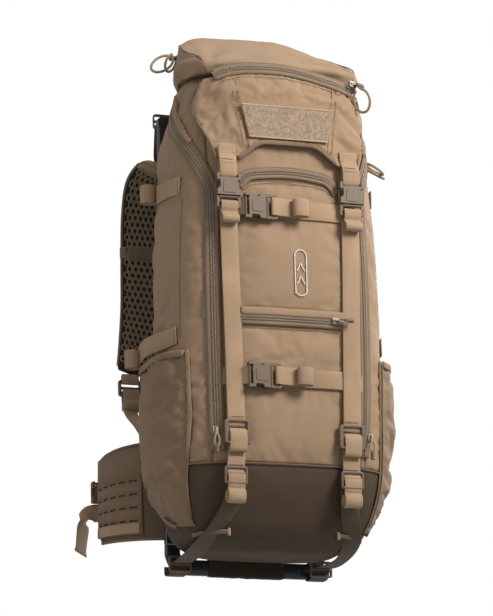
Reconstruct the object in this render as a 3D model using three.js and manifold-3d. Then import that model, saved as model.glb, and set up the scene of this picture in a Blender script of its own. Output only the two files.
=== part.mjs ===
// A framed hunting backpack, in millimetres, +Z up.
// -Y is the front of the pack, away from the wearer; +Y is the wearer's side; -X is the wearer's left.
// Inside the pack group z = 0 is the lowest face of the frame; the outer group then moves the
// origin to the haul loop, by which the pack is held.
import * as THREE from 'three';
import { mergeVertices } from 'three/addons/utils/BufferGeometryUtils.js';
import Module from 'manifold-3d';

const wasm = await Module();
wasm.setup();

// ---------------------------------------------------------------- driving dimensions
const WEB = 25.4;                 // webbing width
const WEB_THICK = 1.6;
const GAP = 0.35;                 // clearance between touching pieces
const WALL = 4;                   // bag panel, padded fabric

const SIDES = ['left', 'right'];
const signOf = (side) => (side === 'left' ? -1 : 1);

// bag outline, bottom to top: height, half width, front and back
const BAG_POWER = 3.2;
const BAG = [
  { z: 20, half: 100, front: -118, back: -20 },
  { z: 34, half: 126, front: -142, back: -8 },
  { z: 60, half: 140, front: -160, back: -3 },
  { z: 110, half: 150, front: -180, back: -1 },
  { z: 180, half: 153, front: -190, back: -1 },
  { z: 300, half: 153, front: -195, back: -1 },
  { z: 430, half: 150, front: -195, back: -1 },
  { z: 530, half: 144, front: -190, back: -1 },
  { z: 600, half: 138, front: -182, back: -1 },
  { z: 668, half: 126, front: -165, back: -1 },
];
const BASE_SEAM_Z = 126;          // top edge of the base panel
const SIDE_SEAM_X = 110;          // main zips, where front and side panels meet
const BACK_SEAM_Y = -11;
const BAG_TOP = 668;

// the lid leans to the wearer's left as it rises: shift moves a section's middle
const LID = [
  { z: 674, half: 130, front: -172, back: 3, shift: 4 },
  { z: 690, half: 136, front: -176, back: 4, shift: 3 },
  { z: 712, half: 124, front: -140, back: 4, shift: -3 },
  { z: 735, half: 114, front: -102, back: 4, shift: -7 },
  { z: 752, half: 99, front: -76, back: 2, shift: -14 },
  { z: 762, half: 68, front: -56, back: -12, shift: -20 },
];

// the top of the bag and the lid narrow towards the frame
const NARROW = { share: 0.22, from: 560, to: 690, front: -130 };
const BUCKLE_LEG_Z = 544;         // foot of the lid's apron, where its buckle tabs start

// the lid's apron wraps round the front corners of the bag
const APRON_THICK = 4;
const APRON = [
  { z: 540, half: 165, front: -198.8, back: -1 },
  { z: 591, half: 140, front: -195.5, back: -1 },
  { z: 627, half: 133, front: -193.2, back: -1 },
  { z: 645, half: 132, front: -192, back: -1 },
  { z: 676, half: 134, front: -182.5, back: -1 },
];

const STRAP_X = 89;               // the two long front straps
const FRONT_STRAP_Y = -195;       // middle of the long straps' thickness
const SOCKET_MOUTH_Z = 491;       // where the lid buckles meet
const COMPRESSION_Z = { upper: 478, lower: 243 };
const STAY = { inner: 96, outer: 118, front: 2, back: 12, bottom: 44.5, top: 640 };
const PAD_THICK = 14;
const PAD_WIDTH = 66;
const HAUL_LOOP_HANG = [0, 22, 655];   // point on the loop that takes the load

// ---------------------------------------------------------------- materials
const fabric = (color) => new THREE.MeshStandardMaterial({ color, roughness: 0.9, metalness: 0 });
const FINISH = {
  shell: fabric('#8c765c'),
  base: fabric('#6b5a44'),
  webbing: fabric('#9a8262'),
  foam: fabric('#6f5d47'),
  loop: fabric('#a38a68'),
  buckle: new THREE.MeshStandardMaterial({ color: '#6a5a47', roughness: 0.5, metalness: 0 }),
  zip: new THREE.MeshStandardMaterial({ color: '#7d6f5c', roughness: 0.45, metalness: 0.6 }),
  frame: new THREE.MeshStandardMaterial({ color: '#15181d', roughness: 0.3, metalness: 0.1 }),
};

// ---------------------------------------------------------------- solids
function closedMesh(geometry) {
  const bare = geometry.clone();
  bare.deleteAttribute('normal');
  bare.deleteAttribute('uv');
  return mergeVertices(bare, 1e-3);
}

function toSolid(geometry) {
  const merged = closedMesh(geometry);
  return new wasm.Manifold(new wasm.Mesh({
    numProp: 3,
    vertProperties: new Float32Array(merged.attributes.position.array),
    triVerts: new Uint32Array(merged.index.array),
  }));
}

function toGeometry(solid) {
  const mesh = solid.getMesh();
  const geometry = new THREE.BufferGeometry();
  geometry.setAttribute('position', new THREE.BufferAttribute(new Float32Array(mesh.vertProperties), 3));
  geometry.setIndex(new THREE.BufferAttribute(new Uint32Array(mesh.triVerts), 1));
  return geometry;
}

// a box from its lowest corner to its highest one
function block(low, high) {
  const size = low.map((value, i) => high[i] - value);
  const middle = low.map((value, i) => (value + high[i]) / 2);
  return toSolid(new THREE.BoxGeometry(...size).translate(...middle));
}

const joined = (...solids) => solids.reduce((sum, solid) => sum.add(solid));

// a rounded rectangle, drawn around its centre
function roundedRect(width, height, radius) {
  const shape = new THREE.Shape();
  const x = width / 2 - radius;
  const y = height / 2 - radius;
  shape.absarc(x, y, radius, 0, Math.PI / 2);
  shape.absarc(-x, y, radius, Math.PI / 2, Math.PI);
  shape.absarc(-x, -y, radius, Math.PI, 1.5 * Math.PI);
  shape.absarc(x, -y, radius, 1.5 * Math.PI, 2 * Math.PI);
  shape.closePath();
  return shape;
}

// a shape drawn in X and Z, made solid from y = front to y = back
function plate(shape, front, back, curveSegments = 4) {
  const geometry = new THREE.ExtrudeGeometry(shape, { depth: back - front, bevelEnabled: false, curveSegments });
  return geometry.rotateX(Math.PI / 2).translate(0, back, 0);
}

// a cushion with bevelled edges: a shape drawn in X and Z, from y = front to y = back
function cushion(shape, front, back, edge) {
  const geometry = new THREE.ExtrudeGeometry(shape, {
    depth: back - front - 2 * edge, bevelSize: edge, bevelThickness: edge, bevelOffset: -edge,
    bevelSegments: 2, curveSegments: 3,
  });
  return geometry.rotateX(Math.PI / 2).translate(0, back - edge, 0);
}

function between(rows, z, key) {
  const upper = rows.findIndex((row) => row.z >= z);
  if (upper <= 0) return rows[Math.max(upper, 0)][key];
  const [a, b] = [rows[upper - 1], rows[upper]];
  return THREE.MathUtils.lerp(a[key], b[key], (z - a.z) / (b.z - a.z));
}

// how much the bag keeps of its width at a depth and a height
function widthKept(y, z) {
  const { smoothstep } = THREE.MathUtils;
  return 1 - NARROW.share * smoothstep(z, NARROW.from, NARROW.to) * smoothstep(y, NARROW.front, 0);
}

// a soft shell through rounded-square sections: a cylinder whose rings take each section's size
function loft(rows, grow = 0, sides = 28) {
  const geometry = new THREE.CylinderGeometry(1, 1, 1, sides, rows.length - 1).rotateX(Math.PI / 2);
  const place = geometry.attributes.position;
  for (let i = 0; i < place.count; i += 1) {
    const row = rows[Math.round((place.getZ(i) + 0.5) * (rows.length - 1))];
    const radius = Math.hypot(place.getX(i), place.getY(i));
    const angle = Math.atan2(place.getY(i), place.getX(i));
    const stretch = (Math.abs(Math.cos(angle)) ** BAG_POWER + Math.abs(Math.sin(angle)) ** BAG_POWER)
      ** (-1 / BAG_POWER);
    const deep = (row.back - row.front) / 2 + grow;
    const y = (row.front + row.back) / 2 + radius * stretch * Math.sin(angle) * deep;
    const x = (row.shift ?? 0) + radius * stretch * Math.cos(angle) * (row.half + grow);
    place.setXYZ(i, x * widthKept(y, row.z), y, row.z);
  }
  return toSolid(geometry);
}

// the bag's front surface at a place across and a height
function bagFront(x, z) {
  const half = between(BAG, z, 'half');
  const front = between(BAG, z, 'front');
  const back = between(BAG, z, 'back');
  const along = (1 - Math.min(Math.abs(x) / half, 1) ** BAG_POWER) ** (1 / BAG_POWER);
  return (front + back) / 2 - along * (back - front) / 2;
}

// how far the bag's side, grown by a distance, stands out from the middle at a depth and a height
function bagSide(y, z, grow = 0) {
  const half = between(BAG, z, 'half') + grow;
  const front = between(BAG, z, 'front') - grow;
  const back = between(BAG, z, 'back') + grow;
  const off = Math.abs(y - (front + back) / 2) / ((back - front) / 2);
  return half * (1 - Math.min(off, 1) ** BAG_POWER) ** (1 / BAG_POWER);
}

// a flat band along a path; across is the direction of its width
function band(points, across, width, thickness, steps, widthAt = () => 1) {
  const curve = new THREE.CatmullRomCurve3(points.map((p) => new THREE.Vector3(...p)), false, 'centripetal');
  const geometry = new THREE.BoxGeometry(1, 1, 1, 1, 1, steps);
  const side = new THREE.Vector3(...across).normalize();
  const place = geometry.attributes.position;
  for (let i = 0; i < place.count; i += 1) {
    const t = place.getZ(i) + 0.5;
    const tangent = curve.getTangent(t);
    const normal = new THREE.Vector3().crossVectors(tangent, side).normalize();
    const point = curve.getPoint(t)
      .addScaledVector(side, place.getX(i) * width * widthAt(t))
      .addScaledVector(normal, place.getY(i) * thickness);
    place.setXYZ(i, point.x, point.y, point.z);
  }
  const solid = toSolid(geometry);
  return solid.volume() > 0 ? solid : toSolid(flipped(geometry));
}

// the same mesh with every triangle turned over
function flipped(geometry) {
  const copy = geometry.clone();
  const index = copy.index;
  for (let i = 0; i < index.count; i += 3) {
    const first = index.getX(i);
    index.setX(i, index.getX(i + 1));
    index.setX(i + 1, first);
  }
  return copy;
}

const mirrored = (solid, side) => (side === 'left' ? solid : solid.mirror([1, 0, 0]));

// ---------------------------------------------------------------- the tree
const pack = new THREE.Group();

function add(name, shape, material, parent = pack) {
  const geometry = shape.isBufferGeometry ? closedMesh(shape) : toGeometry(shape);
  const mesh = new THREE.Mesh(geometry, material);
  mesh.name = name;
  parent.add(mesh);
  return mesh;
}

// a group at a place, turned about Y so that its own -Z points along the pull of the strap
function stand(x, y, z, turnY = 0) {
  const group = new THREE.Group();
  group.position.set(x, y, z);
  group.rotation.y = turnY;
  pack.add(group);
  return group;
}

// ---------------------------------------------------------------- frame
function addFrame() {
  const width = STAY.outer - STAY.inner;
  const middle = (STAY.outer + STAY.inner) / 2;
  for (const side of SIDES) {
    const section = roundedRect(width, STAY.back - STAY.front, 3);
    const stay = new THREE.ExtrudeGeometry(section, {
      depth: STAY.top - STAY.bottom, bevelEnabled: false, curveSegments: 3,
    });
    stay.translate(signOf(side) * middle, (STAY.front + STAY.back) / 2, STAY.bottom);
    add(`${side}_stay`, stay, FINISH.frame);
  }
  const top = roundedRect(2 * STAY.outer, 15, 5);
  add('top_crossbar', plate(top, STAY.front, STAY.back).translate(0, 0, STAY.top + GAP + 7.5), FINISH.frame);

  // the bottom bar turns up into the stays with round corners
  const low = 2;
  const corner = 28;
  const inner = 8;
  const bar = new THREE.Shape();
  bar.moveTo(-STAY.outer, STAY.bottom - GAP);
  bar.lineTo(-STAY.outer, low + corner);
  bar.absarc(-STAY.outer + corner, low + corner, corner, Math.PI, 1.5 * Math.PI);
  bar.absarc(STAY.outer - corner, low + corner, corner, 1.5 * Math.PI, 2 * Math.PI);
  bar.lineTo(STAY.outer, STAY.bottom - GAP);
  bar.lineTo(STAY.inner, STAY.bottom - GAP);
  bar.absarc(STAY.inner - inner, low + width + inner, inner, 0, -Math.PI / 2, true);
  bar.absarc(-STAY.inner + inner, low + width + inner, inner, -Math.PI / 2, -Math.PI, true);
  bar.lineTo(-STAY.inner, STAY.bottom - GAP);
  bar.closePath();
  add('bottom_crossbar', plate(bar, STAY.front, STAY.back, 5), FINISH.frame);

  const cloth = 1.7;
  const sleeveHalf = 56;
  const outside = block([-sleeveHalf, STAY.front - cloth - GAP, 0],
    [sleeveHalf, STAY.back + cloth + GAP, low + width + cloth + GAP]);
  const inside = block([-sleeveHalf - 1, STAY.front - GAP, low - GAP],
    [sleeveHalf + 1, STAY.back + GAP, low + width + GAP]);
  add('frame_sleeve', outside.subtract(inside), FINISH.base);
}

// ---------------------------------------------------------------- bag
function addBag() {
  const shell = loft(BAG).subtract(loft(BAG.map((row, i) => ({
    z: i === 0 ? row.z + WALL : row.z + (i === BAG.length - 1 ? 1 : 0),
    half: row.half - WALL, front: row.front + WALL, back: row.back - WALL,
  }))));
  const far = 400;
  const bottom = BASE_SEAM_Z + GAP;
  const front = shell.intersect(block([-SIDE_SEAM_X, -far, bottom], [SIDE_SEAM_X, -100, far * 2]));
  const back = shell.intersect(block([-far, BACK_SEAM_Y + GAP, bottom], [far, far, far * 2]));
  const left = shell.intersect(block([-far, -far, bottom], [-SIDE_SEAM_X - GAP, BACK_SEAM_Y, far * 2]));
  add('front_panel', front, FINISH.shell);
  add('back_panel', back, FINISH.base);
  add('base_panel', shell.intersect(block([-far, -far, 0], [far, far, BASE_SEAM_Z])), FINISH.base);
  for (const side of SIDES) add(`${side}_side_panel`, mirrored(left, side), FINISH.shell);
}

// stretch pockets low on the sides, open at the top
function addSidePockets() {
  const proud = 17;
  const wall = 3.5;
  const low = 42;
  const high = 281;
  const reach = { front: -152, back: -16 };
  const outline = block([-300, reach.front, low], [-105, reach.back, high]);
  const hollow = block([-300, reach.front + 6, low + 8], [-105, reach.back - 6, high + 50]);
  const pocket = loft(BAG, proud).intersect(outline)
    .subtract(loft(BAG, proud - wall).intersect(hollow))
    .subtract(loft(BAG, 0.8));
  for (const side of SIDES) add(`${side}_side_pocket`, mirrored(pocket, side), FINISH.shell);
}

// ---------------------------------------------------------------- lid
function addLid() {
  add('lid_shell', loft(LID), FINISH.shell);

  // front view of the apron: two legs with an arch between them
  const outline = new THREE.Shape();
  outline.moveTo(-75, BUCKLE_LEG_Z);
  outline.quadraticCurveTo(-60, 569, 0, 569);
  outline.quadraticCurveTo(60, 569, 75, BUCKLE_LEG_Z);
  for (const [x, z] of [[104, BUCKLE_LEG_Z], [119, 591], [126, 627], [119, 650], [104, 677]]) outline.lineTo(x, z);
  for (const [x, z] of [[104, 677], [119, 650], [126, 627], [119, 591], [104, BUCKLE_LEG_Z]]) outline.lineTo(-x, z);
  outline.closePath();
  const inner = APRON.map((row, i) => ({
    z: row.z + (i === 0 ? -1 : 0) + (i === APRON.length - 1 ? 1 : 0),
    half: row.half - APRON_THICK, front: row.front + APRON_THICK, back: row.back,
  }));
  let apron = loft(APRON, 0, 44).subtract(loft(inner, 0, 44)).intersect(toSolid(plate(outline, -260, -100)));
  for (const side of SIDES) {
    const x = signOf(side) * (STRAP_X + 1);
    apron = apron.add(block([x - WEB / 2, -199, SOCKET_MOUTH_Z + 31.5], [x + WEB / 2, -196, BUCKLE_LEG_Z + 4]));
    apron = apron.add(block([x - WEB / 2, -197, BUCKLE_LEG_Z - 4], [x + WEB / 2, -190, BUCKLE_LEG_Z + 4]));
  }
  add('lid_apron', apron, FINISH.shell);

  const patch = new THREE.Shape();
  patch.moveTo(-58, 577);
  patch.lineTo(58, 577);
  patch.lineTo(68, 624);
  patch.lineTo(-68, 624);
  patch.closePath();
  // it lies on the apron's face, which leans back by lean for each millimetre of height
  const lean = 0.065;
  const face = new THREE.Matrix4().set(1, 0, 0, 0, 0, 1, lean, -192 - GAP - 645 * lean, 0, 0, 1, 0, 0, 0, 0, 1);
  add('loop_patch', plate(patch, -2, 0).applyMatrix4(face), FINISH.loop);
}

// ---------------------------------------------------------------- buckles
// Side-release buckle for 25 mm webbing. The mouth is at z = 0 and the tongue enters it going up.
const BUCKLE = { half: 17.5, high: 31, front: -10.5, back: -0.5, rail: 3, skin: 2.4 };

function socketSolid(b = BUCKLE) {
  const skin = block([-b.half, b.front, 0], [b.half, b.front + b.skin, b.high]);
  const head = block([-b.half, b.front, b.high - 8], [b.half, b.back, b.high]);
  const rail = (x) => block([x - b.rail / 2, b.front, 0], [x + b.rail / 2, b.back, b.high]);
  return joined(skin, head, rail(-b.half + b.rail / 2), rail(b.half - b.rail / 2));
}

function tongueGeometry(b = BUCKLE) {
  const ladder = -17;
  const prong = { inner: 7, outer: 12.5, high: 19 };
  const rib = { half: 2, high: 13 };
  const shape = new THREE.Shape();
  shape.moveTo(-b.half, ladder);
  shape.lineTo(b.half, ladder);
  shape.lineTo(b.half, -GAP);
  shape.lineTo(prong.outer, -GAP);
  shape.lineTo(prong.outer, prong.high - 4);
  shape.lineTo(prong.inner + 2, prong.high);
  shape.lineTo(prong.inner, prong.high - 6);
  shape.lineTo(prong.inner, -GAP);
  shape.lineTo(rib.half, -GAP);
  shape.lineTo(rib.half, rib.high);
  shape.lineTo(-rib.half, rib.high);
  shape.lineTo(-rib.half, -GAP);
  shape.lineTo(-prong.inner, -GAP);
  shape.lineTo(-prong.inner, prong.high - 6);
  shape.lineTo(-prong.inner - 2, prong.high);
  shape.lineTo(-prong.outer, prong.high - 4);
  shape.lineTo(-prong.outer, -GAP);
  shape.lineTo(-b.half, -GAP);
  shape.closePath();
  for (const [low, high] of [[-14.5, -11], [-8.5, -5]]) {
    const slot = new THREE.Path();
    slot.moveTo(-WEB / 2, low);
    slot.lineTo(-WEB / 2, high);
    slot.lineTo(WEB / 2, high);
    slot.lineTo(WEB / 2, low);
    slot.closePath();
    shape.holes.push(slot);
  }
  return plate(shape, b.front + b.skin + 0.6, b.front + b.skin + 4.6);
}

// a ladder buckle: a rounded frame with three cross bars
function ladderGeometry(width, high, thick) {
  const shape = roundedRect(width, high, 4);
  const bar = 3.4;
  const slotHigh = (high - 3 * bar) / 2;
  for (const middle of [-(slotHigh + bar) / 2, (slotHigh + bar) / 2]) {
    const slot = new THREE.Path();
    slot.moveTo(-WEB / 2, middle - slotHigh / 2);
    slot.lineTo(-WEB / 2, middle + slotHigh / 2);
    slot.lineTo(WEB / 2, middle + slotHigh / 2);
    slot.lineTo(WEB / 2, middle - slotHigh / 2);
    slot.closePath();
    shape.holes.push(slot);
  }
  return plate(shape, -thick, 0, 3);
}

// ---------------------------------------------------------------- long front straps
function addFrontStraps() {
  for (const side of SIDES) {
    const x = signOf(side) * STRAP_X;
    const inward = -signOf(side);
    const buckle = stand(x + signOf(side), -193.4, SOCKET_MOUTH_Z);
    add(`${side}_lid_socket`, socketSolid(), FINISH.buckle, buckle);
    add(`${side}_lid_tongue`, tongueGeometry(), FINISH.buckle, buckle);

    const strap = [[x, FRONT_STRAP_Y, 466], [x + inward * 1, FRONT_STRAP_Y, 400],
      [x + inward * 3, FRONT_STRAP_Y, 300], [x + inward * 5, FRONT_STRAP_Y + 1, 184]];
    add(`${side}_front_strap`, band(strap, [1, 0, 0], WEB, WEB_THICK, 8), FINISH.webbing);

    const ladderX = x + inward * 6;
    add(`${side}_strap_ladder`, ladderGeometry(38, 34, 6), FINISH.buckle, stand(ladderX, -191.5, 165));
    add(`${side}_base_ladder`, ladderGeometry(33, 23, 5), FINISH.buckle, stand(ladderX - inward, -185.5, 107));

    // below the base ladder the strap turns under the bag to the frame
    const under = [[x + inward * 7, -182.5, 94], [x + inward * 6, -172, 62], [x + inward * 2, -150, 28],
      [x - inward * 4, -110, 13], [x - inward * 8, -60, 9], [x - inward * 10, -8, 9]];
    add(`${side}_base_strap`, band(under, [1, 0, 0], WEB, WEB_THICK, 12), FINISH.webbing);
  }
}

// ---------------------------------------------------------------- compression straps across the front
function addCompressionStraps() {
  for (const [level, z] of Object.entries(COMPRESSION_Z)) {
    const buckle = stand(-38, -197.2, z, -Math.PI / 2);
    add(`${level}_strap_socket`, socketSolid(), FINISH.buckle, buckle);
    add(`${level}_strap_tongue`, tongueGeometry(), FINISH.buckle, buckle);
    const route = [-22, 0, 25, 50, 75, 90, 104].map((x) => [x, bagFront(x, z) - 2.2, z]);
    add(`${level}_strap`, band(route, [0, 0, 1], WEB, WEB_THICK, 8), FINISH.webbing);
  }
}

// ---------------------------------------------------------------- zip sliders
function addZipSliders() {
  const slider = () => new THREE.BoxGeometry(9, 5, 13);
  for (const side of SIDES) {
    add(`${side}_side_zip_slider`, slider(), FINISH.zip, stand(signOf(side) * 112.5, -187, 166));
  }
  add('front_zip_slider', slider(), FINISH.zip, stand(62, -198.6, 325, Math.PI / 2));
  add('lid_front_zip_slider', slider(), FINISH.zip, stand(104, -181, 668, Math.PI / 2));
  add('lid_rear_zip_slider', slider(), FINISH.zip, stand(-80, 8, 748, Math.PI / 2));
}

// ---------------------------------------------------------------- side straps
function addSideStraps() {
  // stations from front to back: depth, height, and how far the strap stands off the bag
  const routes = {
    upper: [[-140, 516, 2.5], [-120, 517, 2.5], [-90, 519, 2.5], [-60, 521, 2.5], [-38, 523, 2.5], [-22, 524, 3]],
    lower: [[-140, 305, 2.5], [-122, 304, 3], [-102, 303, 9], [-80, 301, 17], [-60, 296, 20.5], [-40, 286, 21], [-26, 278, 21]],
  };
  for (const side of SIDES) {
    for (const [level, stations] of Object.entries(routes)) {
      const route = stations.map(([y, z, off]) => [-bagSide(y, z, off), y, z]);
      const strap = band(route, [0, 0, 1], WEB, WEB_THICK, 10);
      add(`${side}_${level}_side_strap`, mirrored(strap, side), FINISH.webbing);
    }
  }
}

// ---------------------------------------------------------------- back and harness
function addBack() {
  add('yoke_pad', cushion(roundedRect(124, 84, 16), 14, 27, 4).translate(0, 0, 505), FINISH.foam);
  add('lumbar_pad', cushion(roundedRect(140, 128, 22), 14, 34, 6).translate(0, 0, 126), FINISH.foam);
  const loop = [[-46, 13.6, 640], [-38, 20, 640], [-20, 30, 640], [20, 30, 640], [38, 20, 640], [46, 13.6, 640]];
  add('haul_loop', band(loop, [0, 0, 1], WEB, 3, 14), FINISH.webbing);
}

// shoulder pads arch over from the yoke and hang down on the wearer's side
function addShoulders() {
  const pad = band([[-62, 24, 562], [-72, 36, 583], [-91, 60, 596], [-105, 84, 580], [-109, 98, 538],
    [-110, 106, 470], [-113, 106, 400], [-121, 101, 340], [-129, 94, 300]],
  [1, 0, 0], PAD_WIDTH, PAD_THICK, 20, (t) => 1 - 0.25 * t * t);
  const lifter = band([[-104, 26, 640], [-101.5, 31, 632], [-99.5, 35, 625.5]], [1, 0, 0], 20, WEB_THICK, 3);
  for (const side of SIDES) {
    const sign = signOf(side);
    add(`${side}_shoulder_pad`, mirrored(pad, side), FINISH.foam);
    add(`${side}_load_lifter`, mirrored(lifter, side), FINISH.webbing);
    add(`${side}_lifter_buckle`, ladderGeometry(30, 22, 5), FINISH.buckle, stand(sign * 105, 22, 653));
    add(`${side}_adjuster_buckle`, ladderGeometry(34, 24, 6), FINISH.buckle, stand(sign * 136, 95, 280));
  }
  add('sternum_socket', socketSolid(), FINISH.buckle, stand(-32, 112, 470, -Math.PI / 2));
  add('sternum_tongue', tongueGeometry(), FINISH.buckle, stand(45, 112, 470, -Math.PI / 2));
}

// hip wings come round from the lumbar pad
function addHipBelt() {
  const wing = band([[-78, 24, 125], [-105, 32, 125], [-136, 50, 125], [-156, 80, 125], [-164, 115, 125],
    [-163, 145, 125]], [0, 0, 1], 138, 13, 12, (t) => 1 - 0.14 * t * t);
  for (const side of SIDES) add(`${side}_hip_wing`, mirrored(wing, side), FINISH.foam);
  // the belt webbing's loose end hangs from the left wing
  const tail = [[-166, 158.6, 113], [-174, 158.6, 109], [-181, 158.6, 90], [-184, 158.6, 52]];
  add('belt_tail', band(tail, [0, 1, 0], WEB, WEB_THICK, 8), FINISH.webbing);
  add('hip_socket', socketSolid(), FINISH.buckle, stand(-157, 158, 125));
  add('hip_tongue', tongueGeometry(), FINISH.buckle, stand(157, 158, 125));
}

addFrame();
addBag();
addSidePockets();
addLid();
addFrontStraps();
addCompressionStraps();
addZipSliders();
addSideStraps();
addBack();
addShoulders();
addHipBelt();

const backpack = new THREE.Group();
pack.position.set(...HAUL_LOOP_HANG.map((value) => -value));
backpack.add(pack);

export default backpack;
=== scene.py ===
"""Looks for a framed hunting backpack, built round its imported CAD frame.

Shapes are drawn in millimetres in the pack's own axes: X to the wearer's right, Y from the back plane
(front of the pack is negative) and Z up from the lowest face of the frame. at() turns a place into the
row frame in metres.
"""
import math

import bpy
from mathutils import Matrix, Vector, noise


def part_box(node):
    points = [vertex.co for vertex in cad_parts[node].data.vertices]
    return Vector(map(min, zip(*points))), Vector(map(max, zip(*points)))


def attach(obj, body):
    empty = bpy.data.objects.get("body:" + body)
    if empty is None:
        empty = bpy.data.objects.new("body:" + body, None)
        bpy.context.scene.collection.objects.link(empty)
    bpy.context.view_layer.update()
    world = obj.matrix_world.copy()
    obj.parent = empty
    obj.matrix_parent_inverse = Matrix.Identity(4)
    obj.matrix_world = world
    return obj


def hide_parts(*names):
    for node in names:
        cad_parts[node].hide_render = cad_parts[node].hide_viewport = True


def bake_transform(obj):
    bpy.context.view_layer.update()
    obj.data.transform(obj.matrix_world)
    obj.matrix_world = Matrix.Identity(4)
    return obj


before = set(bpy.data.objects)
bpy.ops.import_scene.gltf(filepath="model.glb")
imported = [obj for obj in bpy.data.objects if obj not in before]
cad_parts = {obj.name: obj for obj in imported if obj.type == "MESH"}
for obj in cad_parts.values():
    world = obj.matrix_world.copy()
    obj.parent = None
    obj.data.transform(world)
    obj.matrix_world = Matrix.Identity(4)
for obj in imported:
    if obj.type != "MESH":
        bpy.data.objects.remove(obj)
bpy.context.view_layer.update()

MM = 0.001
FLOOR_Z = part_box("frame_sleeve")[0].z
BACK_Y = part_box("left_stay")[0].y - 2 * MM
SIDES = {"left": -1, "right": 1}
WEB = 25.4                        # the width of the common webbing
X_AXIS, Y_AXIS, Z_AXIS = Vector((1, 0, 0)), Vector((0, 1, 0)), Vector((0, 0, 1))


def at(x, y, z):
    """A place in the pack's own axes, in the row frame."""
    return Vector((x * MM, y * MM + BACK_Y, z * MM + FLOOR_Z))


def clamp(value, low=0.0, high=1.0):
    return max(low, min(high, value))


def lerp(a, b, t):
    return a + (b - a) * t


def ease(edge0, edge1, value):
    """0 up to edge0, 1 from edge1 on, and a smooth step between them."""
    t = clamp((value - edge0) / (edge1 - edge0))
    return t * t * (3 - 2 * t)


def bent(value, power):
    """A value from -1 to 1 raised to a power with its sign kept, which squares off a circle."""
    return math.copysign(abs(value) ** power, value)


def at_x(x, *places):
    """Points in one upright plane: each place is a depth and a height."""
    return [(x, y, z) for y, z in places]


def at_z(z, *places):
    """Points at one height."""
    return [(x, y, z) for x, y in places]


def mirrored(sign, *places):
    """Points drawn for the right side, on the side that sign says."""
    return [(sign * x, y, z) for x, y, z in places]


# ------------------------------------------------------------------ camera, light, surroundings
AZIMUTH, ELEVATION, ROLL = math.radians(-20.8), math.radians(-13.1), math.radians(-1.33)
AIM = (-25.6, -88.5, 362.9)      # the point in the middle of the picture
DISTANCE = 5267.0
LENS = 222.6                      # mm, on a 36 mm sensor along the picture's height
AMBIENT = 0.33                    # the white room's own light on the pack


def add_camera():
    back = Vector((math.sin(AZIMUTH) * math.cos(ELEVATION), -math.cos(AZIMUTH) * math.cos(ELEVATION),
                   math.sin(ELEVATION)))
    right = Vector((math.cos(AZIMUTH), math.sin(AZIMUTH), 0))
    up = back.cross(right)
    turned_right = right * math.cos(ROLL) + up * math.sin(ROLL)
    turned_up = up * math.cos(ROLL) - right * math.sin(ROLL)
    data = bpy.data.cameras.new("camera")
    data.lens = LENS
    data.sensor_width = 36
    data.sensor_fit = "AUTO"
    camera = bpy.data.objects.new("camera", data)
    bpy.context.collection.objects.link(camera)
    turn = Matrix((turned_right, turned_up, back)).transposed().to_4x4()
    camera.matrix_world = Matrix.Translation(at(*AIM) + back * DISTANCE * MM) @ turn
    bpy.context.scene.camera = camera


def add_area_light(name, place, aim, size, power, colour=(1, 1, 1), spread=180):
    data = bpy.data.lights.new(name, "AREA")
    data.shape = "RECTANGLE"
    data.size, data.size_y = size
    data.energy = power
    data.color = colour
    data.spread = math.radians(spread)
    lamp = bpy.data.objects.new(name, data)
    bpy.context.collection.objects.link(lamp)
    lamp.location = place
    lamp.rotation_euler = (Vector(aim) - Vector(place)).to_track_quat("-Z", "Y").to_euler()


def add_surroundings():
    centre = at(0, -100, 380)
    add_area_light("key_softbox", centre + Vector((1.1, -1.6, 1.2)), at(20, -150, 500), (0.9, 1.0), 7.8,
                   (1, 0.965, 0.93), 58)
    add_area_light("left_fill", centre + Vector((-2.2, -0.9, 0.6)), centre, (1.4, 2.0), 8)
    add_area_light("top_light", centre + Vector((0.1, 0.4, 2.2)), centre, (1.6, 1.2), 6)
    add_area_light("right_rim", centre + Vector((1.9, 0.9, 0.5)), centre, (0.8, 1.8), 22)
    world = bpy.data.worlds.new("studio")
    bpy.context.scene.world = world
    world.use_nodes = True
    tree = world.node_tree
    seen, soft = tree.nodes["Background"], tree.nodes.new("ShaderNodeBackground")
    seen.inputs["Color"].default_value = (1, 1, 1, 1)
    seen.inputs["Strength"].default_value = 1.0
    soft.inputs["Color"].default_value = (1, 1, 1, 1)
    soft.inputs["Strength"].default_value = AMBIENT
    chosen, rays = tree.nodes.new("ShaderNodeMixShader"), tree.nodes.new("ShaderNodeLightPath")
    tree.links.new(rays.outputs["Is Camera Ray"], chosen.inputs["Fac"])
    tree.links.new(soft.outputs[0], chosen.inputs[1])
    tree.links.new(seen.outputs[0], chosen.inputs[2])
    tree.links.new(chosen.outputs[0], tree.nodes["World Output"].inputs["Surface"])
    bpy.context.scene.view_settings.view_transform = "Standard"
    bpy.ops.mesh.primitive_plane_add(size=8, location=at(0, 0, -1400))
    floor = bpy.context.object
    floor.name = "studio_floor"
    floor.data.materials.append(plain_material("pale_floor", (0.85, 0.85, 0.85), 0.8))


def plain_material(name, colour, roughness):
    material = bpy.data.materials.new(name)
    material.use_nodes = True
    shader = material.node_tree.nodes["Principled BSDF"]
    shader.inputs["Base Color"].default_value = (*colour, 1)
    shader.inputs["Roughness"].default_value = roughness
    return material


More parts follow.
